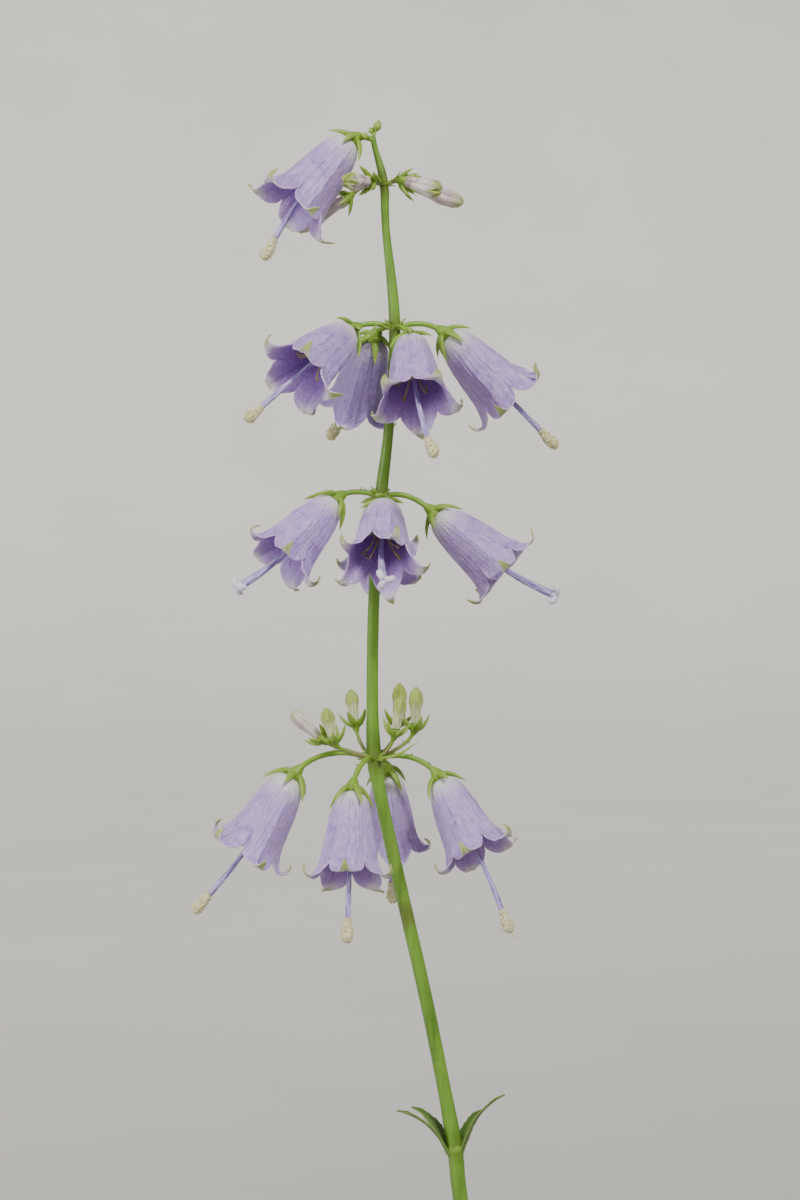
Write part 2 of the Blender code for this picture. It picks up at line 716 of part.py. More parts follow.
def build_water(clear_blue):
    """The water up to its level, with a plain hole where the stem stands in it."""
    wall = inner_outline(GAP)
    below = [point for point in wall if point[1] < WATER_LEVEL]
    above = wall[len(below)]
    share = (WATER_LEVEL - below[-1][1]) / (above[1] - below[-1][1])
    top_radius = below[-1][0] + (above[0] - below[-1][0]) * share
    profile = [(0.0, VASE_FLOOR + GAP), *below, (top_radius, WATER_LEVEL), (0.0, WATER_LEVEL)]
    water = turned("water", profile[::-1], clear_blue)
    line, radii = stem_line()
    deepest = line[0] + (line[0] - line[1]) * 0.3
    route = [deepest, *line[: len([p for p in line if p.z < WATER_LEVEL + 20 * MM])]]
    hole = tube(route, [radii[0] + GAP] * len(route), STEM_SIDES)
    cutter = add_object("stem_hole", hole)
    cutter.hide_render = True
    cutter.display_type = "WIRE"
    cut = water.modifiers.new("stem_hole", "BOOLEAN")
    cut.operation = "DIFFERENCE"
    cut.object = cutter
    cut.solver = "EXACT"


def main():
    clear_scene()
    finishes = {
        "petal": material("petal", (0.55, 0.45, 0.76), 0.55),
        "style": material("style", (0.50, 0.38, 0.74), 0.50),
        "pollen": material("pollen", (0.86, 0.84, 0.62), 0.90),
        "stigma": material("stigma", (0.88, 0.87, 0.85), 0.60),
    }
    green = material("stem", (0.26, 0.42, 0.10), 0.50)
    bud_finish = material("bud", (0.62, 0.66, 0.38), 0.55)
    glass = material("glass", (0.93, 0.96, 0.96), 0.03, transmission=1.0)
    water = material("water", (0.90, 0.95, 0.97), 0.02, transmission=1.0)
    build_vase(glass)
    build_water(water)
    build_flower_stalk(green)
    for record in FLOWERS:
        build_flower(record, finishes)
    for record in BUDS:
        build_bud(record, bud_finish)


main()
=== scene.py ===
"""The looks of a cut ladybell stem in a glass bud vase, from its petals to its water.

Units are metres and +Z is up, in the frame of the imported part. The plant's lines, places and
sizes are those that the part's solids were made with.
"""

import math
import random

import bpy
from mathutils import Matrix, Vector, noise


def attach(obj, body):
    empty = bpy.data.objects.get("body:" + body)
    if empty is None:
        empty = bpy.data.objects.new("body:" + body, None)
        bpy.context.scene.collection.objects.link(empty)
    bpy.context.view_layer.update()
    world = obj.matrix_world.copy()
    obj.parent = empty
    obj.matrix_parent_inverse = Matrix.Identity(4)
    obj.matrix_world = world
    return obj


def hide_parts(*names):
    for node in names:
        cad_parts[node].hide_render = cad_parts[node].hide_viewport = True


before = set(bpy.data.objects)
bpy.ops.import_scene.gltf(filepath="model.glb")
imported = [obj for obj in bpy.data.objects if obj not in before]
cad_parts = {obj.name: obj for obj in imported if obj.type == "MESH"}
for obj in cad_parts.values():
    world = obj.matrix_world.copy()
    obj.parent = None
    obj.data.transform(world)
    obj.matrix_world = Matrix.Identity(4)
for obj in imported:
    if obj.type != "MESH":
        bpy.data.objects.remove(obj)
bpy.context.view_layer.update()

bl_info = {
    "name": "Ladybell in Vase",
    "version": (1, 0, 0),
    "blender": (4, 5, 0),
    "location": "View3D > Sidebar > Ladybell",
    "description": "Builds a cut ladybell stem in a glass bud vase around its packed solids",
    "category": "Add Mesh",
}

BODY = "root"

MM = 0.001
GAP = 0.3 * MM
WELD = 0.002 * MM
TURN_STEPS = 96
UP = Vector((0.0, 0.0, 1.0))

# The vase, as the solid has it: its outside line as radius and height, its wall and floor.
VASE_HEIGHT = 130 * MM
VASE_WALL = 2.2 * MM
VASE_FLOOR = 7 * MM
VASE_FOOT_RADIUS = 18.2 * MM
VASE_FLOOR_RADIUS = 17.0 * MM
VASE_MOUTH_RADIUS = 10.9 * MM
VASE_CORNER = 3 * MM
VASE_FOOT_ROUND = 1.4 * MM
VASE_OUTLINE = (
    (19.6 * MM, 2 * MM),
    (21.2 * MM, 16 * MM),
    (22.0 * MM, 34 * MM),
    (20.6 * MM, 54 * MM),
    (16.0 * MM, 76 * MM),
    (11.9 * MM, 93 * MM),
    (10.6 * MM, 107 * MM),
    (11.4 * MM, 120 * MM),
    (12.9 * MM, VASE_HEIGHT),
)
WATER_LEVEL = 84 * MM

# The stem's line: how far it stands from the vase's axis, its height, and its radius.
STEM_LINE = (
    (12.6 * MM, VASE_FLOOR + 2 * GAP, 1.72 * MM),
    (1.7 * MM, 70 * MM, 1.72 * MM),
    (-8.8 * MM, 130 * MM, 1.66 * MM),
    (-11.0 * MM, 147 * MM, 1.72 * MM),
    (-13.6 * MM, 161.5 * MM, 1.48 * MM),
    (-17.3 * MM, 180 * MM, 1.46 * MM),
    (-21.7 * MM, 199.3 * MM, 1.44 * MM),
    (-25.0 * MM, 214 * MM, 1.42 * MM),
    (-27.2 * MM, 224.5 * MM, 1.42 * MM),
    (-28.4 * MM, 231.8 * MM, 1.62 * MM),
    (-28.8 * MM, 244.5 * MM, 1.28 * MM),
    (-28.5 * MM, 266 * MM, 1.24 * MM),
    (-26.9 * MM, 288.4 * MM, 1.35 * MM),
    (-25.3 * MM, 302.5 * MM, 1.10 * MM),
    (-24.0 * MM, 324.5 * MM, 1.25 * MM),
    (-25.9 * MM, 345.5 * MM, 0.86 * MM),
    (-26.3 * MM, 355.2 * MM, 0.98 * MM),
    (-28.2 * MM, 362.6 * MM, 0.62 * MM),
    (-28.7 * MM, 365.2 * MM, 0.58 * MM),
)

# The places on the stem that flowers and leaves grow from.
NODES = {
    "tip": Vector((-28.6, 0.0, 364.8)) * MM,
    "whorl_1": Vector((-26.3, 0.0, 355.2)) * MM,
    "whorl_2": Vector((-24.0, 0.0, 324.5)) * MM,
    "whorl_3": Vector((-26.9, 0.0, 288.4)) * MM,
    "whorl_4": Vector((-28.4, 0.0, 231.8)) * MM,
    "leaves": Vector((-11.0, 0.0, 147.0)) * MM,
}

# An open flower: its name, the node that bears it, the place of the calyx's end from that
# node in millimetres, the way the mouth faces round the stem, how far the bell leans out
# from straight down, the turn of its lobes, the bell's size and relative width, the
# style's length in millimetres, how far it sweeps aside and which way, and what ends it.
FLOWERS = (
    ("1a", "tip", (-5.1, -0.5, -0.8), 204, 43, 47, 1.04, 0.96, 31.8, 6, 180, "pollen"),
    ("2a", "whorl_2", (-9.7, -3.6, -1.0), 226, 58, 27, 0.97, 1.00, 35.2, 0, 0, "pollen"),
    ("2b", "whorl_2", (-4.7, 4.9, -2.5), 108, 38, 0, 0.94, 1.02, 26.6, 13, 262, "pollen"),
    ("2c", "whorl_2", (3.4, -5.2, -2.7), 275, 42, 47, 0.97, 1.00, 32.8, 6, 270, "pollen"),
    ("2d", "whorl_2", (11.4, 0.8, -1.9), 8, 45, 44, 1.00, 0.98, 33.2, 0, 0, "pollen"),
    ("3a", "whorl_3", (-10.2, -1.8, -1.1), 210, 46, 8, 0.95, 0.99, 29.2, 9, 0, "stigma"),
    ("3b", "whorl_3", (0.7, -5.0, -1.9), 266, 50, 48, 1.00, 1.00, 29.0, 15, 340, "stigma"),
    ("3c", "whorl_3", (11.9, 0.4, -4.1), 355, 50, 8, 0.98, 0.98, 30.8, 9, 0, "stigma"),
    ("3d", "whorl_3", (-0.4, 5.2, -2.2), 88, 47, 50, 1.00, 0.95, 30.0, 6, 0, "stigma"),
    ("4a", "whorl_4", (-17.7, -0.8, -4.0), 180, 32, 30, 0.99, 1.00, 35.7, 5, 0, "pollen"),
    ("4b", "whorl_4", (-4.7, -9.0, -6.3), 265, 20, 0, 0.97, 0.98, 32.0, 0, 0, "pollen"),
    ("4c", "whorl_4", (2.7, 9.2, -4.2), 83, 19, 18, 0.94, 0.95, 31.0, 0, 0, "pollen"),
    ("4d", "whorl_4", (14.3, -1.0, -4.6), 325, 33, 0, 0.95, 1.00, 35.7, 4, 180, "pollen"),
)

# A bud: its name, its node, the place of the calyx's end from that node in millimetres,
# the way it points round the stem, how far it leans from straight down (over 90 it
# points up), its length and greatest radius in millimetres, and its colouring.
BUDS = (
    ("1a", "whorl_1", (-3.5, -3.5, 0.0), 230, 88, 6.5, 1.95, "opening"),
    ("1b", "whorl_1", (-8.5, 5.0, -3.2), 180, 58, 12.2, 1.80, "rosy"),
    ("1c", "whorl_1", (4.7, -1.6, 0.3), 340, 75, 7.5, 1.85, "opening"),
    ("1d", "whorl_1", (5.4, 3.8, 0.0), 10, 72, 12.2, 1.85, "rosy"),
    ("4a", "whorl_4", (-11.9, -1.2, 4.8), 176, 132, 7.6, 1.55, "rosy"),
    ("4b", "whorl_4", (-9.0, -5.0, 5.1), 190, 167, 6.2, 1.50, "green"),
    ("4c", "whorl_4", (-4.3, 3.6, 8.0), 160, 172, 6.5, 1.45, "green"),
    ("4d", "whorl_4", (4.6, -3.2, 6.6), 340, 170, 7.2, 1.45, "green"),
    ("4e", "whorl_4", (5.1, 4.8, 8.0), 60, 176, 7.7, 1.60, "green"),
    ("4f", "whorl_4", (8.8, 0.8, 7.4), 0, 179, 7.8, 1.55, "green"),
)

# How each kind of bud narrows at its end, as shares of its length and radius, and where
# along it the green of its tip starts.
BUD_ENDS = {
    "green": ((0.80, 0.86), (0.93, 0.46), (1.0, 0.04)),
    "rosy": ((0.82, 0.92), (0.94, 0.66), (1.0, 0.12)),
    "opening": ((0.80, 0.96), (0.92, 0.86), (1.0, 0.40)),
}
BUD_GREEN_START = {"green": 0.42, "rosy": 0.78, "opening": 0.74}

# Stalk, calyx and sepals, of a flower and of a bud: the stalk's radius, the calyx's length
# and radius, a sepal's length and half width, and the least and most that it bends over.
FLOWER_CALYX = (0.58 * MM, 3.3 * MM, 1.75 * MM, 4.3 * MM, 0.64 * MM, (1.2 * MM, 3.4 * MM))
BUD_CALYX = (0.40 * MM, 2.6 * MM, 1.25 * MM, 2.9 * MM, 0.46 * MM, (1.0 * MM, 2.2 * MM))
SEED = 4

# The bell: radius and depth of the middle of its wall, from the calyx to a lobe's tip.
LOBES = 5
BELL_LINE = (
    (1.30 * MM, 0.05 * MM),
    (2.45 * MM, 0.62 * MM),
    (3.45 * MM, 1.95 * MM),
    (4.25 * MM, 4.60 * MM),
    (4.90 * MM, 7.80 * MM),
    (5.40 * MM, 11.2 * MM),
    (5.90 * MM, 14.5 * MM),
    (6.60 * MM, 17.0 * MM),
    (7.50 * MM, 18.9 * MM),
    (8.60 * MM, 19.8 * MM),
    (9.70 * MM, 19.4 * MM),
)
BELL_LENGTH = 23.0 * MM
BELL_COLUMNS = 170
BELL_ROWS = 54
BELL_LINE_STEPS = 96
# The share of the bell's line at which the lobes part, and how far their beaks reach.
LOBE_START = 0.785
BEAK = 0.34
# How far the green of a lobe's tip and the pale of its rim reach.
TIP_REACH = 5.8 * MM
RIM_REACH = 1.2 * MM
# The bells that the photograph shows with narrower or deeper lobes, and the bells that painted
# shade darkens.
POINTED_LOBES = {"3b": 1.15, "3a": 1.5, "4c": 1.6, "2c": 1.65}
DEEP_LOBES = {"3b": 0.715}
PAINTED_SHADE_BELLS = {"2b": 0.62, "3d": 0.35, "4c": 0.18}
# How far each lobe's end curls, in degrees, where the photograph shows it.
LOBE_CURLS = {
    "1a": (-8, 0, 6, 6, 60),
    "2b": (40, 45, 34, 20, 45),
    "2c": (62, 45, 0, 52, 72),
    "3a": (74, 30, 8, 58, 30),
    "3b": (52, 30, 4, 45, 60),
    "3c": (20, 40, 30, 40, 34),
    "4a": (62, 20, 52, 30, 74),
    "4b": (34, 48, -26, -26, 55),
    "4c": (40, 84, 10, 20, 30),
    "4d": (64, 56, 60, -6, 10),
}

# The style and what ends it.
DISC_RADIUS = 0.95 * MM
DISC_HEIGHT = 1.9 * MM
STYLE_RADIUS = 0.38 * MM
STYLE_END_RADIUS = 0.62 * MM
STIGMA_STYLE_END_RADIUS = 0.85 * MM
POLLEN_LENGTH = 5.0 * MM
POLLEN_RADIUS = 1.35 * MM
# The flower whose club ends in a short trail of grains.
TRAILING_POLLEN = "4d"
STIGMA_LOBES = 3
STIGMA_LENGTH = 2.3 * MM
STIGMA_RADIUS = 0.66 * MM
STAMENS = 5
STAMEN_LENGTH = 11.5 * MM
HAIR_WIDTH = 0.055 * MM

# The bracts: the whorl, how many stand round it, and the way the first one points.
BRACTS = (("whorl_1", 4, 55), ("whorl_2", 5, 20), ("whorl_3", 6, 0), ("whorl_4", 6, 15))
# How many small scales stand among the bracts of each whorl.
SMALL_SCALES = {"whorl_1": 7, "whorl_2": 14, "whorl_3": 9, "whorl_4": 18}
# The long bract of whorl 4, as places from its node in millimetres.
LONG_BRACT = ((1.0, -1.2, 0.2), (4.0, -2.2, 0.7), (6.8, -2.6, 2.1), (10.0, -2.6, 4.4))

# The three tiny buds at the stem's tip: the way each points, its length and its radius.
TIP_BUDS = (
    (Vector((0.32, 0.05, 0.94)), 3.6 * MM, 0.76 * MM),
    (Vector((-0.20, 0.40, 0.90)), 2.4 * MM, 0.52 * MM),
    (Vector((-0.80, -0.40, 0.20)), 3.0 * MM, 0.70 * MM),
)

# The four small leaves: the way each points, its length, half width and rise.
LEAVES = (
    (196, 16.5 * MM, 1.00 * MM, 46),
    (150, 14.0 * MM, 1.45 * MM, 48),
    (40, 11.5 * MM, 1.35 * MM, 55),
    (340, 17.5 * MM, 0.90 * MM, 60),
)

# The floor is flat for a way, bends up and ends in a round wall. The lights point at the
# plant's middle.
FLOOR_RADIUS = 2.6
FLOOR_BEND = 1.4
FLOOR_WALL = 2.4
PLANT_MIDDLE = Vector((-20 * MM, 0.0, 260 * MM))

# The camera stands where the photograph was taken from.
CAMERA_TARGET = Vector((-22.9 * MM, 0.0, 266 * MM))
CAMERA_ELEVATION = 3
CAMERA_DISTANCE = 716.7 * MM
CAMERA_LENS = 100
CAMERA_SENSOR = 36


def linear(red, green, blue):
    """A colour of the screen, 0 to 255, as Blender's linear colour."""
    channels = []
    for channel in (red, green, blue):
        share = channel / 255
        channels.append(share / 12.92 if share <= 0.04045 else ((share + 0.055) / 1.055) ** 2.4)
    return tuple(channels)


def colour_property(name, description, red, green, blue):
    return bpy.props.FloatVectorProperty(
        name=name,
        description=description,
        subtype="COLOR",
        size=3,
        min=0.0,
        max=1.0,
        default=linear(red, green, blue),
    )


def length_property(name, description, length):
    return bpy.props.FloatProperty(
        name=name,
        description=description,
        default=length,
        min=0.0,
        unit="LENGTH",
        subtype="DISTANCE",
    )


def angle_property(name, description, degrees):
    return bpy.props.FloatProperty(
        name=name, description=description, default=math.radians(degrees), subtype="ANGLE"
    )


class LadybellSizes(bpy.types.PropertyGroup):
    """Sizes that change how fine the plant is, and not where it stands."""

    petal_thickness: length_property("Petal", "Thickness of a bell's wall", 0.30 * MM)
    petal_crinkle: length_property("Crinkle", "Height of the small folds of a bell", 0.16 * MM)
    petal_ruffle: length_property("Ruffle", "Height of the waves along a lobe's edge", 0.28 * MM)
    least_curl: angle_property("Least curl", "Extra curl of the flattest lobe", 4)
    most_curl: angle_property("Most curl", "Extra curl of the most hooked lobe", 70)
    sepal_thickness: bpy.props.FloatProperty(
        name="Sepal", description="Thickness of a sepal against its width", default=0.68
    )
    leaf_thickness: length_property("Leaf", "Thickness of a leaf's blade", 0.34 * MM)
    hair_length: length_property("Hair", "Length of a hair on a style", 0.20 * MM)
    hairs: bpy.props.IntProperty(name="Hairs", description="Hairs on one style", default=90)
    grain_radius: length_property("Grain", "Radius of a clump of pollen", 0.19 * MM)
    grains: bpy.props.IntProperty(name="Grains", description="Clumps on a club", default=260)
    meniscus: length_property("Meniscus", "Rise of the water at the glass", 0.9 * MM)


class LadybellColours(bpy.types.PropertyGroup):
    """Colours of the plant, the water and the floor."""

    petal: colour_property("Petal", "Main lilac of a bell", 178, 141, 220)
    petal_pale: colour_property("Petal pale", "Pale lilac between the veins", 219, 198, 242)
    petal_deep: colour_property("Petal deep", "Violet of the folds", 140, 100, 186)
    # Painted shade: this dull violet darkens the bells that hang in the shade of the others, and
    # deepens the colour of the rest a little at random.
    petal_painted_shade_and_dull_hue: colour_property("Petal shade", "Dull violet of a deeper bell", 112, 94, 146)
    petal_inside: colour_property("Petal inside", "Violet inside a bell", 172, 136, 207)
    petal_vein: colour_property("Petal vein", "Violet of the veins", 92, 60, 138)
    petal_base: colour_property("Petal base", "White by the calyx", 238, 238, 224)
    petal_tip: colour_property("Petal tip", "Green of a lobe's tip", 168, 184, 84)
    style: colour_property("Style", "Lilac of a style", 128, 100, 196)
    style_pale: colour_property("Style pale", "Pale end of a style", 226, 216, 242)
    pollen: colour_property("Pollen", "Cream of the pollen", 255, 253, 226)
    # Painted shade in the hollows between the pollen grains.
    pollen_painted_shade: colour_property("Pollen deep", "Shade between the pollen", 216, 208, 142)
    stigma: colour_property("Stigma", "White of a stigma", 252, 250, 252)
    stamen: colour_property("Stamen", "Straw of a filament", 204, 196, 110)
    anther: colour_property("Anther", "Olive of a spent anther", 150, 136, 52)
    disc: colour_property("Disc", "Yellow of the disc", 200, 196, 96)
    stem: colour_property("Stem", "Green of the stem", 120, 166, 54)
    stem_deep: colour_property("Stem deep", "Dark green of the stem", 82, 122, 30)
    # Partly the stem's own brownish colour by its nodes, partly painted shade where leaves, bracts
    # and flowers crowd round the stem.
    stem_node: colour_property("Stem node", "Brownish olive by the nodes", 98, 96, 40)
    calyx: colour_property("Calyx", "Green of a calyx", 132, 166, 52)
    sepal_tip: colour_property("Sepal tip", "Yellow green of a sepal", 166, 190, 84)
    stalk_dry: colour_property("Stalk", "Dull buff of a bud's stalk", 150, 134, 100)
    leaf: colour_property("Leaf", "Green of a leaf", 72, 104, 34)
    leaf_rib: colour_property("Leaf rib", "Green of a leaf's rib", 150, 174, 86)
    bud_green: colour_property("Bud green", "Green of a bud's tip", 162, 182, 78)
    bud_pale: colour_property("Bud pale", "Pale side of a bud", 232, 232, 196)
    bud_blush: colour_property("Bud blush", "Dull violet on a bud's side", 158, 128, 146)
    bud_rosy: colour_property("Bud rosy", "Rosy side of a bud", 228, 210, 212)
    water: colour_property("Water", "Tint of the water", 250, 254, 254)
    glass: colour_property("Glass", "Tint of the glass", 249, 253, 251)
    floor: colour_property("Floor", "Pale floor", 196, 193, 188)


def sizes():
    return bpy.context.scene.ladybell_sizes


def colours():
    return bpy.context.scene.ladybell_colours


# Lines and frames of the plant


def smooth_line(points, share):
    """The place at a share of the way along a smooth curve through the points."""
    spans = [(b - a).length for a, b in zip(points, points[1:])]
    along = share * sum(spans)
    index = 0
    while index < len(spans) - 1 and along > spans[index]:
        along -= spans[index]
        index += 1
    t = min(1.0, along / spans[index])
    p1, p2 = points[index], points[index + 1]
    p0 = points[index - 1] if index else 2 * p1 - p2
    p3 = points[index + 2] if index + 2 < len(points) else 2 * p2 - p1
    return 0.5 * (
        2 * p1
        + (p2 - p0) * t
        + (2 * p0 - 5 * p1 + 4 * p2 - p3) * t * t
        + (3 * p1 - p0 - 3 * p2 + p3) * t**3
    )


def smooth_points(points, steps):
    points = [Vector(point) for point in points]
    return [smooth_line(points, step / steps) for step in range(steps + 1)]


def bent_line(start, leaving, end, arriving, steps):
    """Points from start to end that leave and arrive the given ways, which carry a length."""
    points = []
    for step in range(steps + 1):
        t = step / steps
        points.append(
            (2 * t**3 - 3 * t**2 + 1) * start
            + (t**3 - 2 * t**2 + t) * leaving
            + (3 * t**2 - 2 * t**3) * end
            + (t**3 - t**2) * arriving
        )
    return points


def direction(round_degrees, lean_degrees):
    """The way that points round_degrees about +Z and leans that far from straight down."""
    turn, lean = math.radians(round_degrees), math.radians(lean_degrees)
    return Vector(
        (math.sin(lean) * math.cos(turn), math.sin(lean) * math.sin(turn), -math.cos(lean))
    )


def place_of(node, offset):
    return NODES[node] + Vector(offset) * MM


def hanging_frame(node, offset, face, lean):
    """The frame of a flower or bud: +Z out of its mouth and +X on its upper side."""
    out = direction(face, lean)
    upper = direction(face, lean + 90)
    turn = Matrix((upper, out.cross(upper), out)).transposed().to_4x4()
    return Matrix.Translation(place_of(node, offset)) @ turn


def step_between(low, high, value):
    """0 below low, 1 above high, and smooth between them."""
    share = min(1.0, max(0.0, (value - low) / (high - low)))
    return share * share * (3 - 2 * share)


def drawn_shapes():
    """The random turns and sizes of the sepals and bracts, drawn in the solid's order."""
    pick = random.Random(SEED)
    sepals = {}
    kinds = [(f"flower_{flower[0]}", FLOWER_CALYX, flower[5]) for flower in FLOWERS]
    kinds += [(f"bud_{bud[0]}", BUD_CALYX, None) for bud in BUDS]
    for name, (_, _, _, sepal_length, _, rises), roll in kinds:
        if roll is None:
            first = pick.uniform(0, math.tau)
        else:
            first = math.radians(roll) + math.pi / LOBES
        sepals[name] = []
        for number in range(LOBES):
            angle = first + math.tau * number / LOBES + pick.uniform(-0.12, 0.12)
            rise = pick.uniform(*rises)
            length = sepal_length * pick.uniform(0.85, 1.12)
            sepals[name].append((angle, rise, length))
    bracts = {}
    for node, count, first in BRACTS:
        bracts[node] = []
        for number in range(count):
            angle = math.radians(first + 360 * number / count) + pick.uniform(-0.2, 0.2)
            length = pick.uniform(3.0, 4.4) * MM
            bracts[node].append((angle, length, pick.uniform(-0.15, 0.75)))
    return sepals, bracts


# Modelling helpers


def select_only(*objects):
    """Selects these objects and nothing else, and makes the first one active."""
    bpy.ops.object.select_all(action="DESELECT")
    for obj in objects:
        obj.select_set(True)
    if objects:
        bpy.context.view_layer.objects.active = objects[0]


def weld(obj):
    """Merges the points of an object that lie together, at seams and poles."""
    select_only(obj)
    bpy.ops.object.mode_set(mode="EDIT")
    bpy.ops.mesh.select_all(action="SELECT")
    bpy.ops.mesh.remove_doubles(threshold=WELD)
    bpy.ops.object.mode_set(mode="OBJECT")


def wrapped_grid(name, across, along, place, marks=None):
    """A grid whose points are moved to place(u, v), with u across and v along, from 0 to 1.

    marks(u, v) gives values that are kept on the points for the material.
    """
    select_only()
    bpy.ops.mesh.primitive_grid_add(x_subdivisions=across, y_subdivisions=along, size=1.0)
    made = bpy.context.active_object
    made.name = name
    made.data.name = name
    spots = [(vertex.co.x + 0.5, vertex.co.y + 0.5) for vertex in made.data.vertices]
    if marks:
        rows = [marks(u, v) for u, v in spots]
        for mark in rows[0]:
            attribute = made.data.attributes.new(mark, "FLOAT", "POINT")
            attribute.data.foreach_set("value", [row[mark] for row in rows])
    for vertex, (u, v) in zip(made.data.vertices, spots):
        vertex.co = place(u, v)
    weld(made)
    bpy.ops.object.shade_smooth()
    return made


def carried_sides(line, side=None):
    """For each point of a line, the way along it and a way across it that doesn't twist."""
    last = len(line) - 1
    carried = []
    for index in range(len(line)):
        along = (line[min(index + 1, last)] - line[max(index - 1, 0)]).normalized()
        if side is None:
            side = along.orthogonal()
        side = (side - along * side.dot(along)).normalized()
        carried.append((along, side.copy()))
    return carried


def tube(name, line, radii, sides, side=None, flat=1.0, swell=None, marks=None):
    """A closed tube along a line, its section flattened across side.

    swell(angle, share) makes it thicker or thinner round the tube.
    """
    carried = carried_sides(line, side)
    rows = len(line) + 1

    def place(u, v):
        row = round(v * rows)
        if row in (0, rows):
            return line[0 if row == 0 else -1]
        along, wide = carried[row - 1]
        thin = along.cross(wide)
        angle = math.tau * (round(u * sides) % sides) / sides
        radius = radii[row - 1]
        if swell:
            radius *= swell(angle, (row - 1) / (len(line) - 1))
        aside = wide * math.cos(angle) * radius + thin * math.sin(angle) * radius * flat
        return line[row - 1] + aside

    def row_marks(u, v):
        share = min(1.0, max(0.0, (round(v * rows) - 1) / (len(line) - 1)))
        values = {"along": share}
        if marks:
            values.update(marks(u, share))
        return values

    return wrapped_grid(name, sides, rows, place, row_marks)


def ribbed(ribs, depth):
    """A swell for a tube with so many soft ribs."""
    return lambda angle, share: 1 + depth * math.cos(ribs * angle)


def around_mark(u, share):
    """The place round a tube, for its streaks."""
    return {"around": u}


def rounded(radii, length, step):
    """Radii whose last stretch closes in a round end."""
    shaped = []
    for index, radius in enumerate(radii):
        left = (len(radii) - 1 - index) * step
        share = min(1.0, left / length)
        shaped.append(radius * math.sqrt(max(0.004, 1 - (1 - share) ** 2)))
    return shaped


def scattered(name, model, places):
    """One mesh of many copies of a small model, each moved by its own matrix."""
    corners = [vertex.co.copy() for vertex in model.data.vertices]
    sides = [tuple(face.vertices) for face in model.data.polygons]
    points, faces = [], []
    for matrix in places:
        first = len(points)
        points.extend(matrix @ corner for corner in corners)
        faces.extend(tuple(first + index for index in side) for side in sides)
    mesh = bpy.data.meshes.new(name)
    mesh.from_pydata(points, [], faces)
    made = bpy.data.objects.new(name, mesh)
    bpy.context.scene.collection.objects.link(made)
    select_only(made)
    bpy.ops.object.shade_smooth()
    return made


def spike_model():
    """A thin three-sided spike, 1 long and 1 across, that stands on the origin."""
    select_only()
    bpy.ops.mesh.primitive_cone_add(
        vertices=3, radius1=0.5, radius2=0.0, depth=1.0, location=(0, 0, 0.5)
    )
    bpy.ops.object.transform_apply(location=True, rotation=True, scale=True)
    return bpy.context.active_object


def grain_model():
    """A small round grain of radius 1."""
    select_only()
    bpy.ops.mesh.primitive_ico_sphere_add(subdivisions=1, radius=1.0)
    return bpy.context.active_object


def discard(obj):
    bpy.data.objects.remove(obj, do_unlink=True)


def moved(obj, matrix):
    """Moves the mesh, so that the object itself stays at the origin."""
    obj.data.transform(matrix)
    obj.data.update()
    return obj


def joined(name, objects):
    """The objects as one piece, with their materials kept."""
    select_only(*objects)
    if len(objects) > 1:
        bpy.ops.object.join()
    objects[0].name = name
    objects[0].data.name = name
    return objects[0]


def apply_modifiers(obj):
    select_only(obj)
    for modifier in list(obj.modifiers):
        bpy.ops.object.modifier_apply(modifier=modifier.name)


def give_wall(obj, thickness):
    """Gives an open sheet its thickness, half to each side, with the inside's own material."""
    wall = obj.modifiers.new("wall", "SOLIDIFY")
    wall.thickness = thickness
    wall.offset = 0.0
    wall.material_offset = 1
    wall.material_offset_rim = 0
    apply_modifiers(obj)


def paint(obj, *finishes):
    obj.data.materials.clear()
    for finish in finishes:
        obj.data.materials.append(finish)
    return obj


def keep(obj, slot, *replaced):
    """Hands a finished piece to the frame."""
    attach(obj, BODY)
    if replaced:
        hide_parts(*replaced)
    return obj


# Materials


